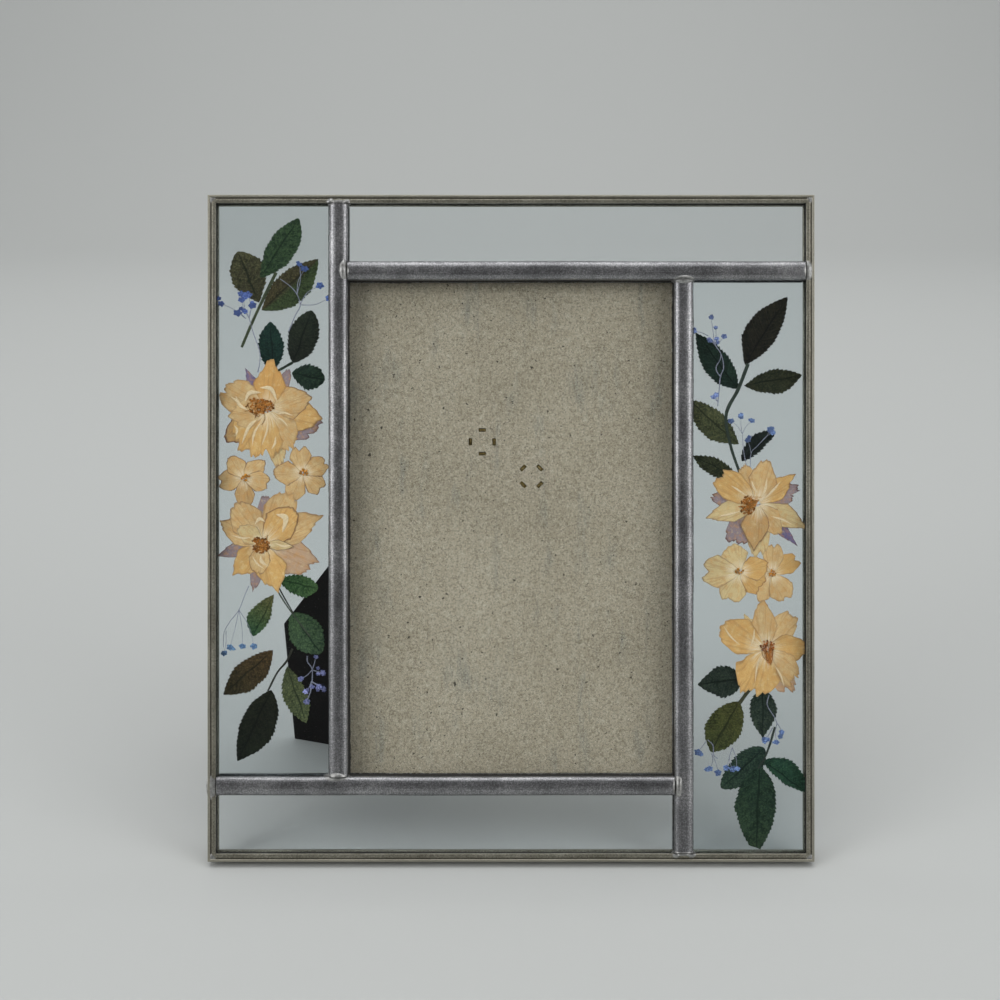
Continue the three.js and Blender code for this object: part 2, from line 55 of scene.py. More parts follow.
MM = 0.001
UP = -Vector(frame["record"]["mounts"][0]["axis"]).normalized()
ACROSS = Vector((1, 0, 0))
BACK = UP.cross(ACROSS)
LEAN = math.atan2(UP.y, UP.z)
AXES = np.array([ACROSS, BACK, UP])
MIDDLE = np.array(sum(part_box("picture_pane"), Vector())) / 2


def placed(bench):
    """Bench points in millimetres as row points in metres: the middle plus each share along its axis."""
    return MIDDLE + np.asarray(bench) @ AXES * MM


def reach(node):
    """The lowest and highest bench point of a CAD node, in millimetres across, back and up."""
    vertices = frame["nodes"][node].data.vertices
    row = np.empty(3 * len(vertices))
    vertices.foreach_get("co", row)
    bench = (row.reshape(-1, 3) - MIDDLE) @ AXES.T / MM
    return bench.min(axis=0), bench.max(axis=0)


FRONT_FACE = reach("border_left")[0][1]
BACK_FACE = reach("border_left")[1][1]


def linked(name, data):
    """A new object with its data, in the scene."""
    made = bpy.data.objects.new(name, data)
    bpy.context.scene.collection.objects.link(made)
    return made


# --- Camera -----------------------------------------------------------------------------------------------
# A plain lens about 43 cm in front. It looks squarely at the leaning front, from a little above and left of
# its middle, so that the frame's edges stay parallel.

EYE_ACROSS = -3.3
EYE_UP = 8.5
EYE_DISTANCE = 432.9
LENS = 52.0
SENSOR = 36.0
NEAREST = 0.01

camera = linked("camera", bpy.data.cameras.new("camera"))
camera.data.lens = LENS
camera.data.sensor_width = SENSOR
camera.data.clip_start = NEAREST
eye = placed([EYE_ACROSS, FRONT_FACE - EYE_DISTANCE, EYE_UP])
turn = Matrix((ACROSS, UP, -BACK)).transposed().to_4x4()
camera.matrix_world = Matrix.Translation(eye) @ turn
bpy.context.scene.camera = camera

# --- Shader sockets ---------------------------------------------------------------------------------------
# The finishes below are written as sums and products of patterns. A pattern is a wire, read from the place on
# the bench, from a strip's or a blade's own UV map, or from a value stored at the mesh's points.


class Wire:
    """A node's output. Arithmetic on it adds Math nodes, and node() adds any other node to its tree."""

    def __init__(self, tree, socket=None):
        self.tree = tree
        self.socket = socket

    def node(self, kind, settings, sockets, outlet=0):
        """Adds one node: its settings first, then a value or a link for each socket, by name or number."""
        made = self.tree.nodes.new("ShaderNode" + kind)
        for name, value in settings.items():
            if name == "stops":
                for _ in value[2:]:
                    made.color_ramp.elements.new(0.5)
                for element, (place, colour) in zip(made.color_ramp.elements, value):
                    element.position = place
                    element.color = (*colour, 1.0)
            else:
                setattr(made, name, value)
        for name, value in sockets.items():
            if isinstance(value, Wire):
                self.tree.links.new(value.socket, made.inputs[name])
            else:
                made.inputs[name].default_value = value
        return Wire(self.tree, made.outputs[outlet])

    def math(self, operation, *values):
        return self.node("Math", {"operation": operation}, dict(enumerate(values)))

    def __add__(self, other):
        return self.math("ADD", self, other)

    def __sub__(self, other):
        return self.math("SUBTRACT", self, other)

    def __mul__(self, other):
        return self.math("MULTIPLY", self, other)

    def __rsub__(self, other):
        return self.math("SUBTRACT", other, self)

    __radd__ = __add__

    def size(self):
        return self.math("ABSOLUTE", self)

    def step(self, low, high):
        """0 below low and 1 above high, eased between them."""
        settings = {"interpolation_type": "SMOOTHSTEP"}
        return self.node("MapRange", settings, {"Value": self, "From Min": low, "From Max": high})

    def colours(self, *stops):
        """A ramp of colours along this value."""
        return self.node("ValToRGB", {"stops": stops}, {"Fac": self})

    def over(self, under, colour):
        """A colour laid over another, where this mask is 1."""
        return self.node("Mix", {"data_type": "RGBA"}, {"Factor": self, 6: under, 7: colour}, outlet=2)


def linear(share):
    """Screen values from 0 to 1 as linear light: a power of 2.4, with a straight run at the dark end."""
    return np.where(share > 0.04045, ((share + 0.055) / 1.055) ** 2.4, share / 12.92)


def rgba(red, green, blue):
    """A colour given as 0 to 255 screen values, in the linear values that a socket takes."""
    return (*linear(np.array([red, green, blue]) / 255).tolist(), 1.0)


def rgb(red, green, blue):
    """The same without the last value, for the stops of a ramp and for tones."""
    return rgba(red, green, blue)[:3]


def new_finish(name):
    """A new material, and a wire in its tree to build patterns from."""
    material = bpy.data.materials.new(name)
    material.use_nodes = True
    return material, Wire(material.node_tree)


def finish(material, wire, height=None, depth=0.0, **sockets):
    """Sets the main shader's sockets, named with underscores, and its bump, depth being in millimetres."""
    shader = material.node_tree.nodes["Principled BSDF"]
    if height is not None:
        sockets["Normal"] = wire.node("Bump", {}, {"Height": height, "Distance": depth * MM})
    for name, value in sockets.items():
        inlet = shader.inputs[name.replace("_", " ")]
        if isinstance(value, Wire):
            material.node_tree.links.new(value.socket, inlet)
        else:
            inlet.default_value = value


def bench_wire(wire):
    """The place on the bench, in millimetres, read from Object coordinates turned by the lean."""
    place = wire.node("TexCoord", {}, {}, outlet=3)
    turned = {"Location": (0, 0, 0), "Rotation": (LEAN, 0, 0), "Scale": (1 / MM,) * 3}
    centred = wire.node("VectorMath", {"operation": "SUBTRACT"}, {0: place, 1: MIDDLE.tolist()})
    return wire.node("Mapping", {}, {"Vector": centred, **turned})


def noise(wire, place, scale, detail=3.0, roughness=0.55):
    """Cloudy noise from 0 to 1 along a place in millimetres; scale is in waves per millimetre."""
    sockets = {"Vector": place, "Scale": scale, "Detail": detail, "Roughness": roughness}
    return wire.node("TexNoise", {}, sockets)


def stretched(wire, place, across, back, up):
    """The same place, scaled along each axis, to draw a pattern out."""
    return wire.node("Mapping", {}, {"Vector": place, "Scale": (across, back, up)})


def part(wire, place, axis):
    """One coordinate of a place: 0 is across, 1 is back and 2 is up."""
    return wire.node("SeparateXYZ", {}, {"Vector": place}, outlet=axis)


def own_map(wire):
    """The piece's own UV map."""
    return wire.node("UVMap", {"uv_map": "UVMap"}, {})


def stored(wire, name, outlet=2):
    """A value stored at the mesh's points, or with outlet 0 a colour."""
    return wire.node("Attribute", {"attribute_name": name}, {}, outlet=outlet)


# --- Border came ------------------------------------------------------------------------------------------
# Four strips of U-section zinc came, mitred at the corners, hold the edges of the outer panes. The face
# has a thin raised lip along its outside and has dulled to an olive grey.

rng = np.random.default_rng(24)

ROW_PITCH = 1.2
CORNER_EASE = 0.24
BORDER_SWAY = 0.018
LIP_WIDTH = 0.75
LIP_STEP = 0.2
GROOVE_WIDTH = 0.35
GROOVE_DEPTH = 0.3
PAST_GROOVE = 2.0
FLANGE = 1.3
WEB = 1.0
FACE_TRIM = 0.3
BORDER_WIDTH = reach("border_left")[1][0] - reach("border_left")[0][0] - FACE_TRIM
OUTER_ACROSS = reach("border_right")[1][0]
OUTER_UP = reach("border_top")[1][2]


def rounded(corners, radius, steps=4):
    """A closed outline with every corner eased: a curve from one radius before it to one after it."""
    corners = np.asarray(corners, float)
    before = np.roll(corners, 1, axis=0) - corners
    after = np.roll(corners, -1, axis=0) - corners

    def inset(side):
        return side * np.minimum(radius / np.linalg.norm(side, axis=1), 0.45)[:, None]

    t = np.linspace(0, 1, steps)[None, :, None]
    start = (corners + inset(before))[:, None]
    end = (corners + inset(after))[:, None]
    curve = (1 - t) ** 2 * start + 2 * t * (1 - t) * corners[:, None] + t**2 * end
    return curve.reshape(-1, 2)


def wander(along, amount, waves=5):
    """A slow wobble along a length: a sum of a few sine waves of random phase, each shorter and weaker."""
    order = np.arange(1, waves + 1)
    phase = rng.uniform(0, 2 * np.pi, waves)
    length = np.ptp(along) + 1e-9
    swing = np.sin(2 * np.pi * order * along[..., None] / length + phase)
    return amount * (swing / order**0.7).sum(axis=-1)


def ring_faces(rows, columns, closed_rows=False):
    """Four-sided faces between neighbouring rings, each ring closed on itself."""
    row = np.arange(rows if closed_rows else rows - 1)[:, None]
    column = np.arange(columns)[None, :]
    upper = (row + 1) % rows
    right = (column + 1) % columns
    near = [row * columns + column, row * columns + right]
    far = [upper * columns + right, upper * columns + column]
    return np.stack(np.broadcast_arrays(*near, *far), axis=-1).reshape(-1, 4)


def flat_ends(rows, columns):
    """One many-sided face on the first ring and one on the last."""
    first = np.arange(columns)[::-1]
    return [first.tolist(), (np.arange(columns) + (rows - 1) * columns).tolist()]


def folded_ends(rows, columns):
    """Ends of a thin sheet: each point of the front edge joined across to the one behind it."""
    j = np.arange(columns // 2 - 1)
    strip = np.stack([j, columns - 1 - j, columns - 2 - j, j + 1], axis=-1)
    return np.concatenate([strip, strip[:, ::-1] + (rows - 1) * columns]).tolist()


def smoothed(mesh, crease):
    """Smooth shading, with a sharp edge wherever two faces meet at more than the crease, in degrees."""
    mesh.polygons.foreach_set("use_smooth", np.ones(len(mesh.polygons), bool))
    mesh.set_sharp_from_angle(angle=math.radians(crease))


def piece(name, bench, faces, material, body="frame", crease=40.0, uv=None, values=None):
    """A mesh from bench points, with its faces turned outwards, riding on its body."""
    mesh = bpy.data.meshes.new(name)
    mesh.from_pydata(placed(np.asarray(bench).reshape(-1, 3)), [], list(faces))
    shape = bmesh.new()
    shape.from_mesh(mesh)
    bmesh.ops.recalc_face_normals(shape, faces=shape.faces)
    shape.to_mesh(mesh)
    shape.free()
    if uv is not None:
        corner = np.empty(len(mesh.loops), np.int32)
        mesh.loops.foreach_get("vertex_index", corner)
        layer = mesh.uv_layers.new(name="UVMap")
        layer.data.foreach_set("uv", np.asarray(uv, float).reshape(-1, 2)[corner].ravel())
    for key, numbers in (values or {}).items():
        attribute = mesh.attributes.new(key, "FLOAT", "POINT")
        attribute.data.foreach_set("value", np.asarray(numbers, float).ravel())
    smoothed(mesh, crease)
    mesh.materials.append(material)
    made = linked(name, mesh)
    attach(made, body)
    return made


def strip_piece(node, section, start, end, inward, mitre, sway, material, slot, lip=0.0):
    """A came strip: its section (inwards, back) carried from start to end (across, up) and swayed a little.

    With mitre 1 every point is set back from the ends by its own distance inwards. The lip is 1 where the
    section is rubbed bright, -1 in its groove and 0 elsewhere, and the finish reads it.
    """
    start, end, inward = np.array(start, float), np.array(end, float), np.array(inward, float)
    length = np.linalg.norm(end - start)
    along = (end - start) / length
    rows = int(length / ROW_PITCH)
    share = np.linspace(0, 1, rows)[:, None]
    setback = mitre * section[None, :, 0]
    distance = setback + (length - 2 * setback) * share
    side = section[None, :, 0] + wander(distance, sway)
    depth = section[None, :, 1] + wander(distance, sway)
    across = start[0] + along[0] * distance + inward[0] * side
    up = start[1] + along[1] * distance + inward[1] * side
    bench = np.stack([across, np.broadcast_to(depth, across.shape), up], axis=-1)
    around = np.concatenate([[0], np.linalg.norm(np.diff(section, axis=0), axis=1).cumsum()])
    uv = np.stack([distance, np.broadcast_to(around, distance.shape)], axis=-1)
    faces = [*ring_faces(rows, len(section)).tolist(), *flat_ends(rows, len(section))]
    values = {"lip": np.broadcast_to(lip, distance.shape)}
    made = piece(f"came_{node}", bench, faces, material, uv=uv, values=values)
    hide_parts(node)


def came_finish(name, dark, light, worn, metal, rough):
    """Satin came: clouds of tone, fine drawing lines, grain, pits and scuffs, with dirt in the groove."""
    material, wire = new_finish(name)
    place = bench_wire(wire)
    clouds = noise(wire, place, 0.09, 4.0, 0.6)
    grain = noise(wire, place, 2.2, 5.0, 0.8)
    strip = own_map(wire)
    lines = noise(wire, stretched(wire, strip, 0.06, 5.0, 1.0), 1.0, 4.0, 0.65)
    pits = noise(wire, place, 2.6, 2.0, 0.5).step(0.64, 0.74)
    scuffs = noise(wire, stretched(wire, strip, 1.4, 0.35, 1.0), 1.0, 5.0, 0.75).step(0.6, 0.72)
    tone = (clouds * 0.2 + grain * 0.6 + lines * 0.2).colours((0.41, dark), (0.5, light), (0.6, worn))
    dirty = (pits * 0.75).over(tone, rgba(42, 40, 38))
    bright = (scuffs * 0.55).over(dirty, (*worn, 1.0))
    lip = stored(wire, "lip")
    lipped = (lip.step(0.3, 0.9) * 0.55).over(bright, (*worn, 1.0))
    grooved = ((0.0 - lip).step(0.1, 0.8) * 0.6).over(lipped, rgba(42, 40, 36))
    relief = lines * 0.5 + grain - pits * 0.8 + clouds * 0.5
    finish(
        material, wire, height=relief, depth=0.035,
        Base_Color=grooved,
        Metallic=metal,
        Roughness=rough + clouds * 0.12 + lines * 0.1 - scuffs * 0.08 + pits * 0.25,
    )
    return material


OLIVE_TONES = rgb(106, 102, 90), rgb(134, 131, 118), rgb(166, 163, 150)
border_finish = came_finish("border_came", *OLIVE_TONES, metal=0.8, rough=0.26)

border_section = rounded(
    [
        (WEB, BACK_FACE - FLANGE),
        (BORDER_WIDTH, BACK_FACE - FLANGE),
        (BORDER_WIDTH, BACK_FACE),
        (0, BACK_FACE),
        (0, FRONT_FACE),
        (LIP_WIDTH, FRONT_FACE),
        (LIP_WIDTH + 0.1, FRONT_FACE + LIP_STEP + GROOVE_DEPTH),
        (LIP_WIDTH + GROOVE_WIDTH, FRONT_FACE + LIP_STEP + GROOVE_DEPTH),
        (LIP_WIDTH + GROOVE_WIDTH + 0.15, FRONT_FACE + LIP_STEP),
        (BORDER_WIDTH, FRONT_FACE + LIP_STEP),
        (BORDER_WIDTH, FRONT_FACE + FLANGE),
        (WEB, FRONT_FACE + FLANGE),
    ],
    CORNER_EASE,
)
on_front = border_section[:, 1] < FRONT_FACE + 1
in_groove = on_front * (border_section[:, 1] > FRONT_FACE + LIP_STEP + 0.5 * GROOVE_DEPTH)
near_lip = border_section[:, 0] < PAST_GROOVE
border_lip = on_front * (border_section[:, 0] < LIP_WIDTH) - 1.0 * in_groove * near_lip
corner_left, corner_right = -OUTER_ACROSS, OUTER_ACROSS
border_runs = {
    "border_left": ((corner_left, -OUTER_UP), (corner_left, OUTER_UP), (1, 0)),
    "border_right": ((corner_right, OUTER_UP), (corner_right, -OUTER_UP), (-1, 0)),
    "border_top": ((corner_left, OUTER_UP), (corner_right, OUTER_UP), (0, -1)),
    "border_bottom": ((corner_right, -OUTER_UP), (corner_left, -OUTER_UP), (0, 1)),
}
for node, run in border_runs.items():
    strip_piece(node, border_section, *run, 1, BORDER_SWAY, border_finish, "border_came", border_lip)

# --- Inner cames ------------------------------------------------------------------------------------------
# Four lengths of H-section came with a half-round front, laid as a pinwheel round the picture. They are
# satin pewter grey, drawn lengthwise, with pits and handling scratches.

INNER_HALF = (reach("left_upright")[1][0] - reach("left_upright")[0][0]) / 2
HEART_HALF = 0.6
CROWN_TOP = reach("left_upright")[0][1]
CROWN_LIFT = 0.3
CROWN_EDGE = FRONT_FACE + FLANGE - CROWN_LIFT
CROWN_POWER = 2.4
BUTT = 0.3
INNER_SWAY = 0.03

PEWTER_TONES = rgb(96, 96, 98), rgb(130, 130, 132), rgb(180, 180, 181)
inner_finish = came_finish("inner_came", *PEWTER_TONES, metal=0.92, rough=0.24)


def arch(aside):
    """How high the crown stands at a distance from its middle: (1 - |aside / half|^p)^(1/p) of its height."""
    share = np.clip(np.abs(aside) / INNER_HALF, 0, 1)
    return (CROWN_EDGE - CROWN_TOP) * (1 - share**CROWN_POWER) ** (1 / CROWN_POWER)


crown_across = -INNER_HALF * np.cos(np.linspace(0, np.pi, 36))
crown = np.stack([crown_across, CROWN_EDGE - arch(crown_across)], axis=-1)
below_crown = [
    (INNER_HALF, FRONT_FACE + FLANGE),
    (HEART_HALF, FRONT_FACE + FLANGE),
    (HEART_HALF, BACK_FACE - FLANGE),
    (INNER_HALF, BACK_FACE - FLANGE),
    (INNER_HALF, BACK_FACE),
    (-INNER_HALF, BACK_FACE),
    (-INNER_HALF, BACK_FACE - FLANGE),
    (-HEART_HALF, BACK_FACE - FLANGE),
    (-HEART_HALF, FRONT_FACE + FLANGE),
    (-INNER_HALF, FRONT_FACE + FLANGE),
]
inner_section = np.concatenate([crown, below_crown])[::-1]
inner_runs = {}
for node in ("left_upright", "right_upright"):
    low, high = reach(node)
    middle = (low[0] + high[0]) / 2
    inner_runs[node] = ((middle, low[2] - BUTT), (middle, high[2] + BUTT), (1, 0))
for node in ("top_rail", "bottom_rail"):
    low, high = reach(node)
    middle = (low[2] + high[2]) / 2
    inner_runs[node] = ((low[0] - BUTT, middle), (high[0] + BUTT, middle), (0, -1))
for node, run in inner_runs.items():
    strip_piece(node, inner_section, *run, 0, INNER_SWAY, inner_finish, "inner_came")

# --- Solder -----------------------------------------------------------------------------------------------
# Every meeting of two cames is closed front and back with a lump of solder, melted on with an iron. It is
# brighter than the came and lies on it like thick paint.

solder_finish, wire = new_finish("solder")
place = bench_wire(wire)
ripple = noise(wire, place, 0.8, 3.0, 0.6)
speck = noise(wire, place, 4.0, 3.0, 0.6)
finish(
    solder_finish, wire, height=ripple + speck * 0.3, depth=0.12,
    Base_Color=(ripple * 0.7 + speck * 0.3).colours(
        (0.3, rgb(112, 111, 109)), (0.55, rgb(158, 158, 156)), (0.75, rgb(196, 196, 194))
    ),
    Metallic=0.9,
    Roughness=0.28 + speck * 0.25,
)

UPRIGHT = inner_runs["right_upright"][0][0]
RAIL = inner_runs["top_rail"][0][1]
SIGHT_ACROSS = UPRIGHT - INNER_HALF
SIGHT_UP = RAIL - INNER_HALF
GLASS_FRONT = reach("left_pane_front")[0][1]
RIM_SINK = 0.12
FRONT_ROOT = 1.0
BACK_ROOT = 0.5


def metal_front(across, up):
    """How far forward the metal stands at a place: the highest of the border's face and the four crowns."""
    on_border = (abs(across) > OUTER_ACROSS - BORDER_WIDTH) | (abs(up) > OUTER_UP - BORDER_WIDTH)
    height = np.where(on_border, -FRONT_FACE - LIP_STEP, -GLASS_FRONT)
    for start, end, _ in inner_runs.values():
        start, end = np.array(start), np.array(end)
        level = abs(start[1] - end[1]) < 1e-6
        aside = (up - start[1]) if level else (across - start[0])
        ahead = across if level else up
        low, high = sorted((start[0], end[0]) if level else (start[1], end[1]))
        inside = (ahead > low) & (ahead < high) & (abs(aside) < INNER_HALF)
        height = np.where(inside, np.maximum(height, -CROWN_EDGE + arch(aside)), height)
    return height


def solder_pad(name, centre, half, thickness, back=False):
    """A lump over a joint: a disc of rings whose height is the metal's plus a dome that ends under it.

    The dome is the thickness times (1 - r squared) less the sink of its rim, which wanders in and out.
    """
    rings, spokes = 16, 56
    angle = np.linspace(0, 2 * np.pi, spokes, endpoint=False)[None, :]
    share = np.concatenate([np.linspace(0.02, 1, rings), [0.98, 0.02]])[:, None]
    rim = 1 + wander(angle[0], 0.06, 4)[None, :]
    across = centre[0] + half[0] * share * rim * np.cos(angle)
    up = centre[1] + half[1] * share * rim * np.sin(angle)
    lumps = thickness * wander(angle[0], 0.04, 6)[None, :] * share
    dome = thickness * (1 - share**2) - RIM_SINK + lumps
    top = BACK_FACE + dome if back else -(metal_front(across, up) + dome)
    under = (BACK_FACE - BACK_ROOT) if back else (FRONT_FACE + FRONT_ROOT)
    depth = np.where(np.arange(rings + 2)[:, None] < rings, top, under)
    bench = np.stack([across, depth, up], axis=-1)
    faces = [*ring_faces(rings + 2, spokes).tolist(), *flat_ends(rings + 2, spokes)]
    piece(f"solder_{name}", bench, faces, solder_finish, crease=60.0)


INNER_EDGE = OUTER_ACROSS - BORDER_WIDTH
TOP_EDGE = OUTER_UP - BORDER_WIDTH
solder_pads = {
    "upright_top": [(-UPRIGHT, TOP_EDGE + 0.3), (2.9, 0.9), 0.2],
    "upright_top_bead_left": [(-UPRIGHT - 2.4, TOP_EDGE + 0.4), (1.2, 1.1), 0.5],
    "upright_top_bead_right": [(-UPRIGHT + 2.5, TOP_EDGE + 0.3), (1.3, 1.0), 0.45],
    "top_rail_left": [(-SIGHT_ACROSS - 1.1, RAIL + 0.1), (1.5, 3.3), 0.75],
    "top_rail_right": [(INNER_EDGE + 0.5, RAIL + 0.2), (1.5, 3.2), 0.7],
    "crown_right_upright": [(UPRIGHT, SIGHT_UP + 0.1), (3.4, 1.3), 0.55],
    "bottom_rail_left": [(-INNER_EDGE - 1.1, -RAIL - 0.2), (1.9, 3.6), 0.3],
    "left_upright_foot": [(-UPRIGHT - 0.3, -SIGHT_UP - 0.1), (3.9, 1.4), 0.45],
    "bottom_rail_right": [(SIGHT_ACROSS + 1.0, -RAIL), (1.5, 3.4), 0.75],
    "right_upright_foot_left": [(UPRIGHT - 2.2, -TOP_EDGE - 0.3), (1.4, 1.1), 0.6],
    "right_upright_foot_right": [(UPRIGHT + 2.3, -TOP_EDGE - 0.3), (1.5, 1.1), 0.6],
    "right_upright_foot": [(UPRIGHT, -TOP_EDGE), (3.2, 0.9), 0.25],
    "corner_top_left": [(-OUTER_ACROSS + 1.3, OUTER_UP - 1.3), (1.1, 1.1), 0.2],
    "corner_top_right": [(OUTER_ACROSS - 1.3, OUTER_UP - 1.3), (1.0, 1.0), 0.2],
    "corner_bottom_left": [(-OUTER_ACROSS + 1.3, -OUTER_UP + 1.3), (1.1, 1.1), 0.2],
    "corner_bottom_right": [(OUTER_ACROSS - 1.3, -OUTER_UP + 1.3), (1.0, 1.0), 0.2],
}
for name, (centre, half, thickness) in solder_pads.items():
    solder_pad(name, centre, half, thickness)
for name, centre in {
    "back_upright_top": (-UPRIGHT, TOP_EDGE),
    "back_top_rail_left": (-SIGHT_ACROSS, RAIL),
    "back_top_rail_right": (INNER_EDGE, RAIL),
    "back_right_upright": (UPRIGHT, SIGHT_UP),
    "back_bottom_rail_left": (-INNER_EDGE, -RAIL),
    "back_left_upright_foot": (-UPRIGHT, -SIGHT_UP),
    "back_bottom_rail_right": (SIGHT_ACROSS, -RAIL),
    "back_right_upright_foot": (UPRIGHT, -TOP_EDGE),
}.items():
    solder_pad(name, centre, (2.6, 2.6), 0.4, back=True)

# --- Glass ------------------------------------------------------------------------------------------------
# Clear sheet glass with a faint cool cast, cut to fit the grooves of the cames. The side panes are double,
# with the plants pressed between them. Lamplight passes straight through and is not bent.

glass_finish, wire = new_finish("clear_glass")
finish(
    glass_finish, wire,
    Base_Color=(0.93, 0.965, 0.975, 1.0),
    Roughness=0.0,
    IOR=1.5,
    Transmission_Weight=1.0,
)
lamp_ray = wire.node("LightPath", {}, {}, outlet=1)
pass_through = wire.node("BsdfTransparent", {}, {"Color": (0.9, 0.92, 0.93, 1.0)})
pane_shader = Wire(glass_finish.node_tree, glass_finish.node_tree.nodes["Principled BSDF"].outputs[0])
lit_pane = wire.node("MixShader", {}, {0: lamp_ray, 1: pane_shader, 2: pass_through})
glass_output = glass_finish.node_tree.nodes["Material Output"]
glass_finish.node_tree.links.new(lit_pane.socket, glass_output.inputs["Surface"])


def dress(node, material):
    """Gives a CAD node that stays its finish."""
    slots = frame["nodes"][node].data.materials
    slots.clear()
    slots.append(material)


for pane in ("left_pane_front", "left_pane_back", "right_pane_front", "right_pane_back"):
    dress(pane, glass_finish)
for pane in ("top_pane", "bottom_pane", "picture_pane"):
    dress(pane, glass_finish)

# --- Glazing putty ----------------------------------------------------------------------------------------
# Black putty is rubbed under the cames to hold the panes still. A thin uneven line of it shows along
# every edge, thickest round the picture.

putty_finish, wire = new_finish("glazing_putty")
place = bench_wire(wire)
crumbs = noise(wire, place, 2.2, 4.0, 0.7)
finish(
    putty_finish, wire, height=crumbs, depth=0.15,
    Base_Color=crumbs.colours((0.35, rgb(12, 11, 9)), (0.6, rgb(30, 28, 23)), (0.8, rgb(66, 62, 52))),
    Roughness=0.65 + crumbs * 0.3,
)

PUTTY_STEPS = 160


def putty_line(name, low, high, glass, width):
    """A bead round a sight opening: a small wedge carried round the rectangle, its width wandering."""
    low, high = np.array(low, float), np.array(high, float)
    t = np.linspace(0, 1, PUTTY_STEPS, endpoint=False)
    still = np.ones(PUTTY_STEPS)
    width_run = (high[0] - low[0]) * t
    height_run = (high[1] - low[1]) * t
    across = np.concatenate([low[0] + width_run, still * high[0], high[0] - width_run, still * low[0]])
    up = np.concatenate([still * high[1], high[1] - height_run, still * low[1], low[1] + height_run])
    centre = (low + high) / 2
    along = np.linspace(0, 1, 4 * PUTTY_STEPS)
    bead = width * (1 + wander(along, 0.22, 40) + rng.normal(0, 0.12, along.size)).clip(0.25, 2.6)

    def inset(distance):
        across_in = centre[0] + (across - centre[0]) * (1 - distance / (high[0] - centre[0]))
        up_in = centre[1] + (up - centre[1]) * (1 - distance / (high[1] - centre[1]))
        return across_in, up_in

    under = FRONT_FACE + FLANGE
    wedge = [(-0.3, glass + 0.02), (bead, glass + 0.02), (bead * 0.6, glass - 0.12), (0.02, under + 0.02)]
    wedge.append((-0.3, under + 0.02))
    rings = []
    for distance, depth in wedge:
        across_in, up_in = inset(distance * np.ones_like(bead))
        rings.append(np.stack([across_in, np.full(bead.size, depth), up_in], axis=-1))
    faces = ring_faces(4 * PUTTY_STEPS, len(wedge), closed_rows=True)
    piece(f"putty_{name}", np.stack(rings, axis=1), faces, putty_finish)


CLEAR_FRONT = reach("top_pane")[0][1]
PAST_UPRIGHT = UPRIGHT + INNER_HALF
PAST_RAIL = RAIL + INNER_HALF
sights = {
    "left": [(-INNER_EDGE, -SIGHT_UP), (-PAST_UPRIGHT, TOP_EDGE), GLASS_FRONT, 0.16],
    "right": [(PAST_UPRIGHT, -TOP_EDGE), (INNER_EDGE, SIGHT_UP), GLASS_FRONT, 0.2],
    "top": [(-SIGHT_ACROSS, PAST_RAIL), (INNER_EDGE, TOP_EDGE), CLEAR_FRONT, 0.16],
    "bottom": [(-INNER_EDGE, -TOP_EDGE), (SIGHT_ACROSS, -PAST_RAIL), CLEAR_FRONT, 0.12],
    "picture": [(-SIGHT_ACROSS, -SIGHT_UP), (SIGHT_ACROSS, SIGHT_UP), CLEAR_FRONT, 0.5],
}
for name, (low, high, glass, width) in sights.items():
    putty_line(name, low, high, glass, width)

# --- Pressed leaflets -------------------------------------------------------------------------------------
# Rose leaflets, dried flat between sheets of paper and laid on the back pane. They keep a saw-toothed edge,
# a sunken midrib and side veins, and have dried from green to olive, brown and nearly black.


def sheet_shape(across, up, depth, thickness):
    """A thin closed sheet from a grid of front points: each row runs across the front and back behind."""
    front = np.stack(np.broadcast_arrays(across, depth, up), axis=-1)
    rear = front[:, ::-1] + [0, thickness, 0]
    return ring_shape(np.concatenate([front, rear], axis=1))


def ring_shape(rings):
    """Rings of an even number of points as (points, faces), with both ends folded shut."""
    rows, columns = rings.shape[:2]
    return rings.reshape(-1, 3), np.concatenate([ring_faces(rows, columns), folded_ends(rows, columns)])


def both_sides(front):
    """A value for each front point, repeated for the points behind it."""
    return np.concatenate([front, front[:, ::-1]], axis=1)


def joined(shapes):
    """Several (points, faces) shapes as one."""
    counts = np.cumsum([0, *[len(points) for points, _ in shapes]])
    faces = np.concatenate([faces + count for (_, faces), count in zip(shapes, counts)])
    return np.concatenate([points for points, _ in shapes]), faces


def tinted_piece(name, shapes, material, tints, uvs=None, values=None, crease=50.0):
    """A piece of several shapes whose points carry a colour, given as 0 to 255 values."""
    bench, faces = joined(shapes)
    made = piece(name, bench, faces.tolist(), material, crease=crease, uv=uvs, values=values)
    share = np.concatenate([np.asarray(tint, float).reshape(-1, 3) for tint in tints]) / 255
    opaque = np.ones((len(share), 1))
    attribute = made.data.attributes.new("tint", "FLOAT_COLOR", "POINT")
    attribute.data.foreach_set("color", np.concatenate([linear(share), opaque], axis=1).ravel())
    return made


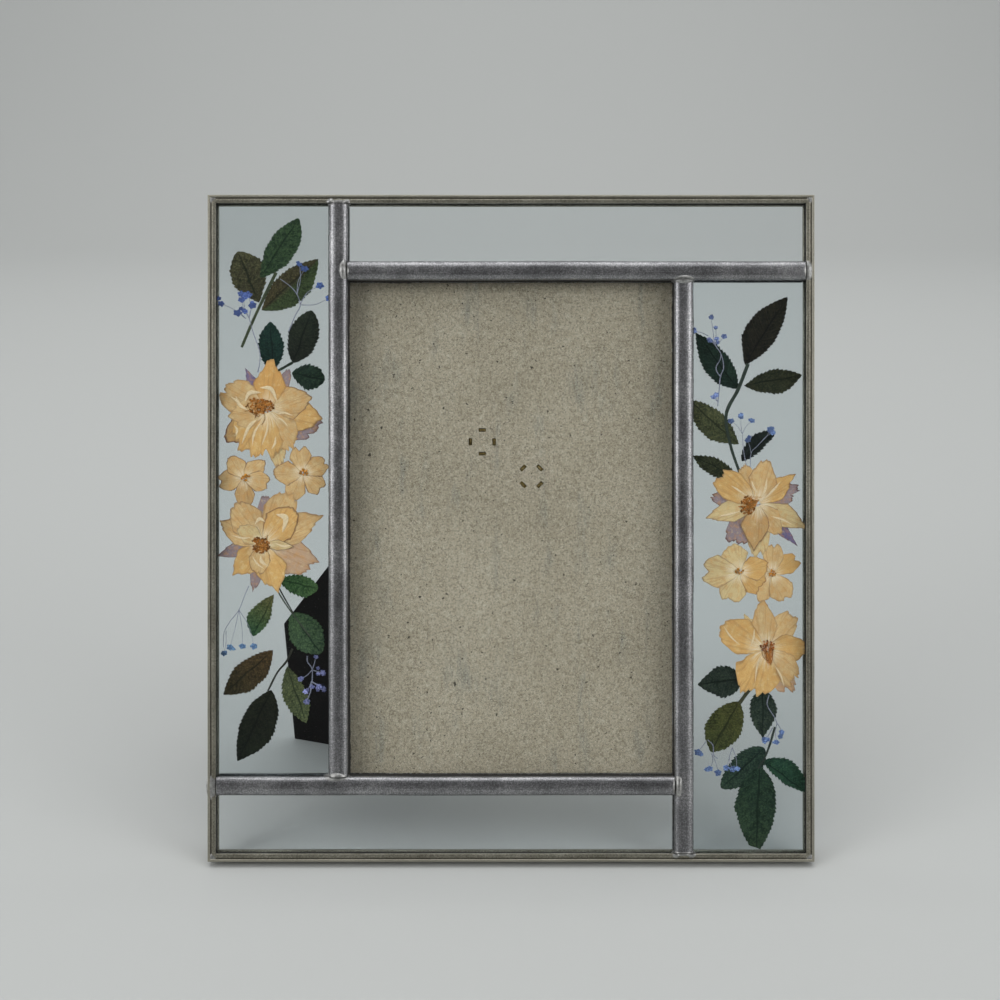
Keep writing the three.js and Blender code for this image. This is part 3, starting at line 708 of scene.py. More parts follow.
leaf_finish, wire = new_finish("leaflet")
place = bench_wire(wire)
tint = stored(wire, "tint", 0)
blade = own_map(wire)
blade_along = part(wire, blade, 0)
blade_across = part(wire, blade, 1).size()
blotches = noise(wire, place, 0.16, 3.0, 0.6)
mottle = noise(wire, place, 0.75, 5.0, 0.75)
grain = noise(wire, place, 1.9, 3.0, 0.65)
cells = wire.node("TexVoronoi", {"feature": "DISTANCE_TO_EDGE"}, {"Vector": place, "Scale": 1.2})
net = 1.0 - cells.step(0.02, 0.16)
ladder = (blade_along - blade_across * 0.17) * 8.5
side_vein = 1.0 - ladder.math("PINGPONG", ladder, 0.5).step(0.02, 0.1)
midrib = 1.0 - blade_across.step(0.03, 0.085)
shade = wire.node("VectorMath", {"operation": "MULTIPLY"}, {0: tint, 1: (0.26, 0.32, 0.34)})
light = wire.node("VectorMath", {"operation": "MULTIPLY"}, {0: tint, 1: (2.1, 2.0, 1.6)})
dried = (mottle.step(0.42, 0.6) * 0.8).over(tint, shade)
faded = (blotches.step(0.5, 0.7) * 0.35).over(dried, light)
grained = (grain.step(0.5, 0.58) * 0.6).over(faded, light)
netted = (net * 0.45).over(grained, shade)
veined = (side_vein * 0.28).over(netted, light)
ribbed = (midrib * 0.85).over(veined, shade)
relief = mottle * 0.6 + grain * 0.3 - net * 0.3 - midrib * 1.2 - side_vein * 0.6
MATT = 0.12
finish(
    leaf_finish, wire, height=relief, depth=0.16,
    Base_Color=ribbed,
    Roughness=0.62 + mottle * 0.25,
    Specular_IOR_Level=MATT,
)

GAP_BACK = reach("left_pane_back")[0][1]
GAP_FRONT = reach("left_pane_front")[1][1]
LEAF_THICKNESS = 0.09
LEAF_PITCH = 0.13
LEAF_SEAT = 0.03
LEAF_SWELL = 0.02
TOOTH = 1.25
TOOTH_DEPTH = 0.56
CUT_SLANT = 0.3


def leaflet(name, base, tip, left, right, belly, low, high, level, blunt=0.85, edge=None, cut=1.0):
    """A saw-toothed blade: each half-width follows sin(pi s^a)^blunt, widest at the belly.

    Every tooth bites in at its start and slopes out towards the tip. The colour runs from low at the base to
    high at the tip. With edge, the right side has that colour. A cut below 1 takes the tip off, on a slant.
    """
    base, tip = np.array(base), np.array(tip)
    length = np.linalg.norm(tip - base)
    rows, columns = 130, 9
    t = np.linspace(-1, 1, columns)[None, :]
    s = np.linspace(0.004, min(cut, 0.996), rows)[:, None] * (1 + CUT_SLANT * (1 - cut) * t)
    ease = math.log(0.5) / math.log(belly)
    profile = np.sin(np.pi * s**ease) ** blunt
    teeth = (s * length / TOOTH) % 1.0
    bite = TOOTH_DEPTH * (1 - teeth) * np.abs(t) ** 4 * np.sin(np.pi * s) ** 0.3
    ragged = 1 + wander(s[:, 0], 0.025, 9)[:, None]
    half = np.where(t < 0, right, left) * profile * ragged - bite
    along = (tip - base) / length
    aside = np.array([-along[1], along[0]])
    sway = wander(s[:, 0], 0.12, 3)[:, None] * np.sin(np.pi * s)
    offset = t * half + sway
    ahead = s * length
    across = base[0] + along[0] * ahead + aside[0] * offset
    up = base[1] + along[1] * ahead + aside[1] * offset
    swell = LEAF_SWELL * np.cos(6 * t) * np.sin(np.pi * s)
    depth = GAP_BACK - LEAF_SEAT - LEAF_THICKNESS - level * LEAF_PITCH - swell
    shape = sheet_shape(across, up, depth, LEAF_THICKNESS)
    blend = s[..., None] * np.ones((1, columns, 1))
    tint = np.array(low) * (1 - blend) + np.array(high) * blend
    if edge is not None:
        right_side = (t[..., None] < -0.05) * 1.0
        tint = tint * (1 - right_side) + np.array(edge) * right_side
    uv = np.stack(np.broadcast_arrays(s, t), axis=-1)
    tints, uvs = [both_sides(tint)], both_sides(uv)
    made = tinted_piece(f"leaf_{name}", [shape], leaf_finish, tints, uvs)
    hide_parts(f"leaflet_{name}")


DARK = (30, 34, 27)
DEEP = (26, 43, 36)
MOSS = (58, 70, 44)
BROWN = (70, 62, 42)

leaflet("left_01", (-75.7, 75.6), (-64.1, 93.6), 3.9, 5.4, 0.52, (44, 62, 42), (54, 74, 50), 2, 0.72)
leaflet("left_02", (-76.1, 68.1), (-82.6, 83.6), 5.3, 5.9, 0.56, (60, 58, 40), (72, 70, 50), 1, 0.7)
leaflet("left_03", (-75.4, 65.8), (-58.2, 81.4), 4.3, 6.5, 0.5, BROWN, (66, 62, 42), 0, edge=MOSS)
leaflet("left_04", (-71.9, 47.5), (-72.7, 62.4), 4.3, 3.8, 0.5, (20, 42, 38), (26, 50, 44), 0, 0.66)
leaflet("left_05", (-65.8, 49.9), (-60.2, 65.8), 4.6, 5.2, 0.52, DARK, (34, 42, 32), 0, 0.64)
leaflet("left_06", (-66.2, 46.9), (-56.2, 44.8), 4.0, 4.1, 0.54, (30, 46, 38), (36, 54, 42), 1, 0.6)
leaflet("left_07", (-70.7, -15.5), (-58.2, -18.2), 3.2, 3.9, 0.58, (46, 74, 42), (66, 92, 58), 0, 0.65)
leaflet("left_08", (-71.6, -20.0), (-77.9, -32.7), 2.4, 4.6, 0.58, (98, 92, 54), (48, 80, 54), 0, 0.7)
leaflet("left_09", (-66.2, -25.7), (-57.3, -37.8), 5.0, 5.4, 0.5, (58, 78, 54), (66, 86, 64), 1, 0.62)
leaflet("left_10", (-71.9, -36.8), (-86.9, -50.3), 5.5, 4.0, 0.5, (76, 58, 35), (50, 46, 31), 1)
leaflet("left_11", (-72.4, -48.9), (-82.7, -70.4), 6.8, 4.6, 0.46, (28, 30, 20), (22, 28, 20), 0)
leaflet("left_12", (-67.7, -41.7), (-61.8, -59.0), 3.6, 4.6, 0.52, (74, 80, 54), (82, 90, 62), 0)
leaflet("right_01", (70.7, 49.3), (83.6, 69.9), 6.2, 4.1, 0.48, (26, 24, 18), (32, 31, 22), 1)
leaflet("right_02", (68.6, 42.1), (55.8, 59.1), 5.0, 3.9, 0.46, DEEP, (28, 44, 36), 0)
leaflet("right_03", (70.4, 43.0), (88.0, 46.3), 3.5, 4.5, 0.52, (38, 42, 28), (46, 48, 32), 0)
leaflet("right_04", (68.9, 25.3), (53.4, 38.9), 5.0, 4.0, 0.5, (66, 70, 46), (80, 82, 58), 0)
leaflet("right_05", (68.9, 14.8), (54.9, 21.9), 3.1, 2.9, 0.5, (46, 50, 32), (54, 58, 40), 1)
leaflet("right_06", (69.8, 20.2), (80.0, 29.2), 3.8, 1.7, 0.5, (22, 27, 26), (28, 36, 32), 0, 0.6)
leaflet("right_07", (70.1, -45.5), (56.4, -47.3), 5.1, 4.8, 0.42, (36, 46, 40), (44, 54, 46), 0)
leaflet("right_08", (68.9, -52.4), (60.5, -67.7), 5.5, 5.9, 0.5, (72, 72, 38), (62, 68, 38), 0, 0.7)
leaflet("right_09", (76.1, -48.5), (76.1, -63.4), 4.3, 4.3, 0.42, (40, 52, 44), (48, 58, 50), 1)
leaflet("right_10", (76.6, -66.4), (63.5, -78.6), 5.1, 4.4, 0.47, (38, 56, 48), (48, 66, 54), 0, 0.62)
leaflet(
    "right_11", (75.1, -72.2), (74.1, -98.4), 5.9, 7.1, 0.42, (34, 54, 42), (46, 62, 46), 1, 0.8, cut=0.93
)
leaflet("right_12", (76.1, -70.4), (89.2, -79.8), 5.5, 2.0, 0.5, (34, 62, 48), (44, 74, 58), 0, 0.7)

# --- Leaf stalks ------------------------------------------------------------------------------------------
# The rachis of each rose leaf, a thin green stem pressed flat with its leaflets and laid a little in front of
# them. It has dried to a streaky grey green.

stalk_finish, wire = new_finish("stalk")
place = bench_wire(wire)
tint = stored(wire, "tint", 0)
streaks = noise(wire, place, 1.8, 4.0, 0.7)
finish(
    stalk_finish, wire, height=streaks, depth=0.08,
    Base_Color=(streaks.step(0.4, 0.65) * 0.5).over(tint, rgba(34, 36, 28)),
    Roughness=0.7 + streaks * 0.2,
    Specular_IOR_Level=MATT,
)


def curve_through(points, count):
    """A smooth line through the points: each coordinate is a cubic between them, by Catmull and Rom."""
    points = np.asarray(points, float)
    padded = np.concatenate([2 * points[:1] - points[1:2], points, 2 * points[-1:] - points[-2:-1]])
    place = np.linspace(0, len(points) - 1 - 1e-6, count)
    first = place.astype(int)
    u = (place - first)[:, None]
    p0, p1, p2, p3 = (padded[first + k] for k in range(4))
    slope = (p2 - p0) * u
    square = (2 * p0 - 5 * p1 + 4 * p2 - p3) * u**2
    cube = (3 * p1 - p0 - 3 * p2 + p3) * u**3
    return p1 + 0.5 * (slope + square + cube)


def stalk_shape(points, radius, depth, flat=0.35, count=40, sides=8, taper=0.25, swell=0.0):
    """A flattened tube along (across, up) points. Its radius falls by the taper towards the end.

    With swell 1 it is widest in the middle and comes to a point at both ends.
    """
    line = curve_through(points, count)
    heading = np.gradient(line, axis=0)
    heading = heading / (np.linalg.norm(heading, axis=1, keepdims=True) + 1e-9)
    aside = np.stack([-heading[:, 1], heading[:, 0]], axis=-1)
    angle = np.linspace(0, 2 * np.pi, sides, endpoint=False)
    share = np.linspace(0, 1, count)
    thick = radius * (1 - taper * share) * (1 + wander(share, 0.05, 7))
    thick = thick * (1 - swell * (1 - np.sin(np.pi * (0.03 + 0.94 * share))))
    out = thick[:, None] * np.cos(angle)
    rise = flat * thick[:, None] * np.sin(angle)
    across = line[:, :1] + aside[:, :1] * out
    up = line[:, 1:] + aside[:, 1:] * out
    return ring_shape(np.stack([across, depth + rise, up], axis=-1))


def plain_piece(name, shapes, material, colours):
    """A piece of several shapes, each of one colour from the list."""
    tints = [np.broadcast_to(colour, points.shape) for (points, _), colour in zip(shapes, colours)]
    tinted_piece(name, shapes, material, tints)


STALK_DEPTH = GAP_BACK - 0.5
stalks = {
    "left_upper": [[(-70.9, 77.2), (-75.2, 68.4), (-78.6, 61.0), (-81.3, 54.6)], 0.52, (66, 74, 52)],
    "left_middle": [[(-65.9, 50.0), (-68.4, 48.6), (-71.4, 46.6), (-73.2, 43.0)], 0.42, (40, 50, 40)],
    "left_strand": [[(-72.3, -15.5), (-69.6, -20.4), (-66.4, -25.2), (-60.6, -32.8)], 0.26, (74, 80, 68)],
    "left_twin": [[(-71.2, -15.8), (-68.2, -21.4), (-65.6, -25.8)], 0.24, (50, 54, 48)],
    "left_lower": [[(-66.0, -36.4), (-67.7, -40.1), (-70.6, -43.7), (-73.4, -49.2)], 0.36, (52, 52, 44)],
    "right_upper": [
        [(71.6, 49.6), (68.6, 41.9), (65.0, 34.3), (66.3, 25.0), (69.4, 15.8)], 0.56, (52, 62, 54)
    ],
    "right_middle": [[(73.2, -46.8), (71.3, -49.6), (68.9, -53.0)], 0.72, (66, 66, 48)],
    "right_lower": [[(79.7, -60.0), (78.4, -64.6), (76.6, -69.4), (74.6, -72.6)], 0.36, (50, 58, 52)],
}
for name, (points, radius, colour) in stalks.items():
    shape = stalk_shape(points, radius, STALK_DEPTH)
    plain_piece(f"stalk_{name}", [shape], stalk_finish, [colour])

# --- Pressed rose flowers ---------------------------------------------------------------------------------
# Cream roses and small primroses, whose petals have gone thin, ribbed and freckled. Their edges dry to a
# fine brown line, darkened further by a painted shadow along each edge, their hearts stay pale, and the
# oldest outer petals fade to mauve.

petal_finish, wire = new_finish("petal")
place = bench_wire(wire)
tint = stored(wire, "tint", 0)
seed = stored(wire, "seed")
edge_brown_and_shadow = stored(wire, "rim")
blade = own_map(wire)
petal_across = part(wire, blade, 0)
petal_along = part(wire, blade, 1)
fan = wire.node("CombineXYZ", {}, {0: petal_across * 9.0, 1: petal_along * 1.1, 2: seed * 7.3})
ribs = noise(wire, fan, 1.0, 4.0, 0.6)
crinkle = noise(wire, place, 0.55, 4.0, 0.62)
freckle = noise(wire, place, 2.4, 3.0, 0.65)
# The rim line darkens each petal's edge: partly its dried brown margin, partly a painted shadow where the
# edge lies on the petal behind.
rim = wire.math("MAXIMUM", petal_across.size(), petal_along).step(0.93, 0.99)
heart = 1.0 - petal_along.step(0.05, 0.5)
golden = (crinkle.step(0.46, 0.64) * 0.44).over(tint, rgba(206, 152, 88))
pale = (crinkle.step(0.3, 0.48) * -0.42 + 0.42).over(golden, rgba(226, 200, 152))
shaded = (ribs.step(0.5, 0.64) * 0.36).over(pale, rgba(162, 118, 74))
white = (heart * ribs.step(0.38, 0.55) * 0.7).over(shaded, rgba(244, 232, 204))
dotted = (freckle.step(0.6, 0.72) * 0.22).over(white, rgba(160, 112, 66))
edge_browned_and_shaded = (rim * edge_brown_and_shadow).over(dotted, rgba(98, 68, 62))
finish(
    petal_finish, wire, height=ribs * 0.8 + crinkle * 0.9 + freckle * 0.15, depth=0.14,
    Base_Color=edge_browned_and_shaded,
    Roughness=0.6 + freckle * 0.2,
    Specular_IOR_Level=MATT,
)

CREAM = (206, 172, 122)
GOLD = (210, 168, 106)
AMBER = (206, 158, 94)
PALE = (208, 184, 136)
TAN = (188, 152, 104)
ROSY = (190, 158, 130)
MAUVE = (142, 128, 136)
VIOLET = (104, 98, 138)
PETAL_THICKNESS = 0.02
PETAL_PITCH = 0.03
PETAL_WAVE = 0.004
HEART_GAP = 0.06
FLOWER_BACK = GAP_BACK - 0.62

OUTLINES = {
    "point": {"shoulder": 0.52, "power": 1.75, "point": 0.07, "notch": 0.0},
    "round": {"shoulder": 0.52, "power": 2.6, "point": 0.0, "notch": 0.0},
    "notch": {"shoulder": 0.45, "power": 3.4, "point": 0.0, "notch": 0.13},
    "square": {"shoulder": 0.4, "power": 4.5, "point": 0.0, "notch": 0.02},
}


def petal_shape(centre, level, angle, length, half, outline, ruffle):
    """A fan from the flower's heart: s runs outwards and t from side to side.

    The reach of each ray is 1 - shoulder |t|^power, with a point or a notch added in the middle. The ruffle
    makes its edge more ragged.
    """
    rows, columns = 20, 31
    s = np.linspace(0, 1, rows)[:, None]
    t = np.linspace(-1, 1, columns)[None, :]
    form = OUTLINES[outline]
    ray = 1 - form["shoulder"] * np.abs(t) ** form["power"]
    ray = ray + form["point"] * np.exp(-((t / 0.14) ** 2)) - form["notch"] * np.exp(-((t / 0.22) ** 2))
    ray = ray * (1 + wander(t[0], 0.018 + 0.035 * ruffle, 12))
    spread = 0.07 + 0.93 * s**0.62
    bend = rng.uniform(-0.06, 0.06) * half
    ahead = length * (HEART_GAP + (1 - HEART_GAP) * s * ray)
    crumple = 1 + wander(s[:, 0], 0.02 + 0.02 * ruffle, 5)[:, None]
    aside = half * t * spread * crumple + bend * s**2 * length / 6
    turn = math.radians(angle)
    across = centre[0] + ahead * math.cos(turn) - aside * math.sin(turn)
    up = centre[1] + ahead * math.sin(turn) + aside * math.cos(turn)
    wave = PETAL_WAVE * np.sin(9 * t + 4 * s + angle)
    depth = FLOWER_BACK - level * PETAL_PITCH + wave
    return sheet_shape(across, up, depth, PETAL_THICKNESS), s, t


def flower(name, centre, petals):
    """Petals laid one on the next from the back.

    Each is (angle, length, half-width, outline, colour, rim, ruffle); the rim is how dark its edge line is,
    dried brown and painted shadow.
    """
    shapes, tints, uvs, seeds, rims = [], [], [], [], []
    for level, (angle, length, half, outline, colour, rim, ruffle) in enumerate(petals):
        shape, s, t = petal_shape(centre, level, angle, length, half, outline, ruffle)
        uv = both_sides(np.stack(np.broadcast_arrays(t, s), axis=-1))
        shapes.append(shape)
        uvs.append(uv.reshape(-1, 2))
        shade = 1 + wander(np.linspace(0, 1, uv.shape[1]), 0.02, 4)[None, :, None]
        tints.append(np.array(colour) * shade * np.ones((uv.shape[0], 1, 1)))
        seeds.append(np.full(len(shape[0]), level + rng.uniform(0, 9)))
        rims.append(np.full(len(shape[0]), rim))
    values = {"seed": np.concatenate(seeds), "rim": np.concatenate(rims)}
    made = tinted_piece(f"petals_{name}", shapes, petal_finish, tints, np.concatenate(uvs), values)
    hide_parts(f"flower_{name}")


flower("left_upper", (-73.6, 35.6), [
    (284, 18.2, 3.6, "point", PALE, 0.5, 1.0),
    (-20, 16.6, 6.4, "round", MAUVE, 0.7, 0.6),
    (212, 15.0, 4.6, "round", TAN, 0.9, 0.3),
    (62, 13.4, 2.8, "round", MAUVE, 0.5, 0.4),
    (117, 12.9, 2.4, "point", VIOLET, 0.5, 0.3),
    (-8, 16.2, 6.2, "point", GOLD, 0.6, 0.2),
    (152, 14.4, 5.6, "square", CREAM, 0.4, 0.6),
    (14, 13.6, 5.2, "point", CREAM, 0.7, 0.3),
    (84, 14.4, 5.0, "point", AMBER, 0.3, 0.7),
    (300, 13.4, 5.6, "round", CREAM, 0.3, 1.2),
    (236, 14.0, 6.2, "round", GOLD, 0.4, 1.2),
    (268, 14.0, 5.2, "square", GOLD, 0.3, 1.6),
    (188, 11.4, 4.8, "point", CREAM, 0.4, 0.5),
])
flower("left_outer", (-80.6, 15.1), [
    (191, 7.8, 3.5, "notch", CREAM, 0.8, 0.2),
    (-90, 8.6, 3.2, "notch", TAN, 0.8, 0.3),
    (122, 7.6, 3.2, "round", CREAM, 0.8, 0.2),
    (41, 7.9, 3.3, "point", CREAM, 0.8, 0.2),
    (-12, 7.9, 3.4, "notch", CREAM, 0.8, 0.3),
])
flower("left_inner", (-62.7, 16.6), [
    (240, 8.6, 3.3, "notch", CREAM, 0.6, 0.2),
    (180, 8.8, 3.7, "round", CREAM, 0.7, 0.2),
    (-40, 7.9, 3.4, "notch", CREAM, 0.8, 0.2),
    (99, 8.2, 3.3, "notch", CREAM, 0.6, 0.2),
    (25, 7.9, 3.4, "notch", CREAM, 0.7, 0.3),
])
flower("left_lower", (-74.8, -4.6), [
    (258, 14.4, 2.4, "point", MAUVE, 0.7, 0.3),
    (86, 14.6, 3.6, "round", MAUVE, 0.5, 0.3),
    (196, 13.0, 3.0, "point", MAUVE, 0.8, 0.4),
    (-24, 16.6, 6.0, "round", ROSY, 0.5, 0.8),
    (22, 18.6, 5.2, "point", CREAM, 0.5, 0.3),
    (62, 16.8, 5.0, "square", CREAM, 0.3, 0.5),
    (224, 12.6, 4.4, "point", GOLD, 0.4, 0.6),
    (154, 14.2, 4.6, "point", CREAM, 0.6, 0.3),
    (126, 14.8, 5.4, "round", CREAM, 0.5, 0.3),
    (44, 13.8, 5.4, "round", GOLD, 0.7, 0.2),
    (-76, 14.6, 5.0, "point", GOLD, 0.4, 0.5),
    (146, 8.6, 3.2, "round", PALE, 0.5, 0.4),
    (-100, 9.4, 3.4, "round", CREAM, 0.6, 0.3),
    (-8, 8.8, 1.7, "point", PALE, 0.9, 0.2),
])
flower("right_upper", (74.4, 7.3), [
    (-46, 16.4, 2.2, "point", VIOLET, 0.7, 0.3),
    (236, 13.8, 4.4, "square", MAUVE, 0.8, 0.7),
    (18, 12.6, 3.9, "round", MAUVE, 0.9, 1.2),
    (168, 13.6, 3.8, "round", MAUVE, 0.8, 0.6),
    (-87, 15.2, 3.6, "square", PALE, 0.3, 0.5),
    (112, 12.2, 3.0, "square", CREAM, 0.5, 0.8),
    (38, 13.4, 3.5, "point", GOLD, 0.6, 0.6),
    (-27, 15.6, 3.7, "point", PALE, 0.7, 0.2),
    (195, 15.4, 3.6, "point", PALE, 0.6, 0.3),
    (146, 14.4, 4.8, "square", GOLD, 0.4, 0.4),
    (78, 13.6, 4.3, "point", CREAM, 0.5, 0.5),
    (-50, 11.2, 3.9, "point", CREAM, 0.5, 0.4),
    (-93, 12.8, 4.6, "point", TAN, 0.6, 0.2),
])
flower("right_outer", (78.8, -13.6), [
    (170, 7.4, 3.0, "round", CREAM, 0.3, 0.2),
    (250, 9.2, 2.8, "round", CREAM, 0.4, 0.3),
    (28, 9.2, 3.2, "notch", GOLD, 0.4, 0.3),
    (85, 9.0, 3.3, "notch", CREAM, 0.4, 0.2),
    (-60, 9.2, 4.0, "notch", CREAM, 0.4, 0.3),
])
flower("right_inner", (69.2, -13.2), [
    (114, 8.6, 4.4, "round", PALE, 0.3, 0.3),
    (249, 9.8, 4.3, "notch", PALE, 0.5, 0.2),
    (180, 11.4, 5.0, "notch", PALE, 0.5, 0.2),
    (-35, 8.0, 4.0, "square", GOLD, 0.6, 0.5),
    (16, 8.4, 4.0, "round", GOLD, 0.6, 0.4),
])
flower("right_lower", (77.0, -36.4), [
    (121, 11.8, 2.2, "point", PALE, 0.3, 0.4),
    (-64, 14.6, 3.6, "square", ROSY, 0.4, 0.9),
    (53, 12.8, 4.3, "square", CREAM, 0.4, 0.4),
    (93, 14.0, 4.2, "point", CREAM, 0.4, 0.4),
    (3, 12.0, 4.6, "round", GOLD, 0.5, 0.2),
    (158, 15.4, 5.6, "round", GOLD, 0.4, 0.3),
    (-50, 13.4, 5.0, "round", CREAM, 0.3, 1.2),
    (250, 14.6, 7.2, "round", GOLD, 0.3, 1.2),
])

# --- Curled petal edges and their painted highlights ------------------------------------------------------
# Where a petal's edge has turned over in the press, its pale underside shows as a crescent or a ridge,
# painted paler still as the highlight on the fold. Each is a thin sliver lying just behind the front pane.

stamen_finish, wire = new_finish("dried_thread")
place = bench_wire(wire)
tint = stored(wire, "tint", 0)
dust = noise(wire, place, 3.5, 3.0, 0.6)
finish(
    stamen_finish, wire, height=dust, depth=0.06,
    Base_Color=(dust.step(0.45, 0.7) * 0.35).over(tint, rgba(150, 100, 52)),
    Roughness=0.75 + dust * 0.15,
    Specular_IOR_Level=MATT,
)

curl_highlights = {
    "left_upper": [
        ([(-80.2, 38.2), (-78.8, 40.8), (-75.4, 40.9)], 0.62),
        ([(-75.6, 42.4), (-72.4, 42.0), (-70.5, 38.2)], 0.6),
        ([(-83.0, 39.8), (-81.8, 37.2), (-79.4, 35.6)], 0.5),
        ([(-84.4, 39.6), (-82.8, 38.4), (-81.6, 36.4)], 0.3),
        ([(-76.6, 32.8), (-79.0, 30.6), (-81.2, 25.4)], 0.5),
        ([(-75.2, 32.4), (-77.4, 28.6), (-78.0, 25.0)], 0.32),
        ([(-73.4, 33.0), (-73.6, 29.4), (-75.2, 25.0)], 0.3),
        ([(-71.0, 27.6), (-71.2, 25.6), (-72.2, 23.8)], 0.32),
        ([(-83.4, 31.0), (-82.6, 29.6), (-83.0, 27.8)], 0.34),
        ([(-70.6, 34.4), (-68.4, 34.8), (-65.8, 34.0)], 0.28),
        ([(-70.8, 33.4), (-69.0, 32.6), (-67.2, 30.6)], 0.28),
    ],
    "left_lower": [
        ([(-70.8, 4.2), (-68.0, 3.0), (-68.9, -1.2)], 0.85),
        ([(-77.2, 1.2), (-75.8, 2.8), (-74.2, 2.0)], 0.5),
        ([(-75.4, -8.2), (-75.2, -10.0), (-73.4, -11.4)], 0.5),
        ([(-78.0, -8.4), (-76.6, -10.6), (-74.6, -12.2)], 0.26),
        ([(-71.4, -4.4), (-68.8, -5.4), (-66.2, -5.2)], 0.3),
        ([(-84.0, -2.2), (-81.0, -3.0), (-78.6, -2.8)], 0.3),
    ],
    "right_upper": [
        ([(77.2, 15.2), (76.8, 12.2), (75.6, 8.8)], 0.38),
        ([(72.6, 14.4), (73.2, 12.4), (74.6, 10.0)], 0.34),
        ([(81.2, 14.0), (79.2, 11.6), (76.4, 8.8)], 0.32),
        ([(62.6, 3.6), (65.8, 4.2), (69.4, 5.2)], 0.34),
        ([(84.6, 1.2), (81.8, 2.6), (78.4, 3.6)], 0.32),
        ([(66.4, 12.8), (68.4, 11.6), (71.4, 9.4)], 0.3),
    ],
    "right_lower": [
        ([(72.2, -36.0), (73.2, -33.0), (73.4, -30.4)], 0.3),
        ([(75.2, -38.4), (74.2, -42.0), (73.6, -46.4)], 0.3),
        ([(79.6, -41.4), (81.4, -44.6), (82.4, -47.8)], 0.28),
        ([(64.2, -29.6), (66.2, -32.6), (69.2, -35.4)], 0.26),
    ],
}
# The slivers' colour is the pale underside together with a painted highlight on each fold.
UNDERSIDE_AND_HIGHLIGHT = (228, 206, 168)
CURL_DEPTH = GAP_FRONT + 0.19
for name, marks in curl_highlights.items():
    shapes = [stalk_shape(points, half, CURL_DEPTH, 0.2, 24, taper=0.0, swell=1.0) for points, half in marks]
    plain_piece(f"curls_{name}", shapes, stamen_finish, [UNDERSIDE_AND_HIGHLIGHT] * len(shapes))

# --- Stamens ----------------------------------------------------------------------------------------------
# Dry curled threads in the heart of each flower, each with a rust-brown anther at its end. They lie on top of
# the petals, pressed against the front pane.

THREAD_RADIUS = 0.09


def tuft(name, root, middle, half, count, thread, anther, scatter=1.0):
    """Threads curling from around the root to ends in an ellipse, each ending in an anther.

    The scatter is how far the threads' starts stray from the root, as a standard deviation.
    """
    angle = rng.uniform(0, 2 * np.pi, count)
    spread = np.sqrt(rng.uniform(0, 1, count))
    out = np.stack([half[0] * spread * np.cos(angle), half[1] * spread * np.sin(angle)], axis=-1)
    ends = np.array(middle) + out
    shapes, colours = [], []
    for end in ends:
        start = np.array(root) + rng.normal(0, scatter, 2)
        bow = np.array([-(end - start)[1], (end - start)[0]]) * rng.uniform(-0.2, 0.2)
        depth = GAP_FRONT + rng.uniform(0.1, 0.16)
        path = [start, (start + end) / 2 + bow, end]
        shapes.append(stalk_shape(path, THREAD_RADIUS, depth, 0.4, 7, 4, 0.3))
        colours.append(np.array(thread) * rng.uniform(0.6, 1.15))
        turn = rng.uniform(0, np.pi)
        tip = end + 0.5 * np.array([math.cos(turn), math.sin(turn)])
        radius = rng.uniform(0.24, 0.38)
        shapes.append(stalk_shape([end, (end + tip) / 2, tip], radius, depth, 0.3, 4, 6, 0.4))
        colours.append(np.array(anther) * rng.uniform(0.6, 1.2))
    plain_piece(f"stamens_{name}", shapes, stamen_finish, np.clip(colours, 0, 255))


THREAD = (184, 124, 60)
RUST = (150, 92, 38)
tuft("left_upper", (-75.9, 36.2), (-75.7, 36.7), (4.3, 2.5), 90, THREAD, RUST, 1.6)
tuft("left_outer", (-80.6, 15.1), (-80.2, 15.1), (1.3, 1.0), 14, THREAD, (196, 132, 48), 0.5)
tuft("left_inner", (-62.7, 16.6), (-62.4, 16.6), (1.4, 1.1), 14, THREAD, (196, 132, 48), 0.5)
tuft("left_lower", (-75.2, -5.2), (-75.5, -5.2), (2.7, 2.5), 80, THREAD, RUST, 1.0)
tuft("right_upper", (73.4, 7.8), (71.2, 6.5), (2.3, 3.0), 60, THREAD, RUST, 0.9)
tuft("right_inner", (69.2, -13.2), (68.8, -13.0), (1.6, 0.8), 10, THREAD, (200, 140, 60), 0.5)
tuft("right_outer", (78.8, -13.6), (78.8, -13.6), (1.1, 1.0), 12, THREAD, (190, 128, 52), 0.5)
tuft("right_lower", (78.2, -40.6), (77.4, -35.6), (2.1, 1.7), 34, (186, 120, 62), (150, 82, 36), 0.3)

# --- Gypsophila -------------------------------------------------------------------------------------------
# Gypsophila dyed blue and laid in between the roses. Hair-thin forking stems carry tiny crumpled flowers,
# pressed flat, which have faded unevenly between sky blue and lilac.

bud_finish, wire = new_finish("gypsophila")
place = bench_wire(wire)
tint = stored(wire, "tint", 0)
folds = noise(wire, place, 2.0, 3.0, 0.6)
finish(
    bud_finish, wire, height=folds, depth=0.2,
    Base_Color=(folds.step(0.44, 0.56) * 0.75).over(tint, rgba(58, 70, 114)),
    Roughness=0.65 + folds * 0.2,
    Specular_IOR_Level=MATT,
)

STEM = (142, 144, 160)
BLUE = (116, 138, 180)
DEEP_BLUE = (88, 106, 162)
SKY = (108, 142, 174)
LILAC = (142, 142, 186)
SPRAY_DEPTH = GAP_BACK - 0.6


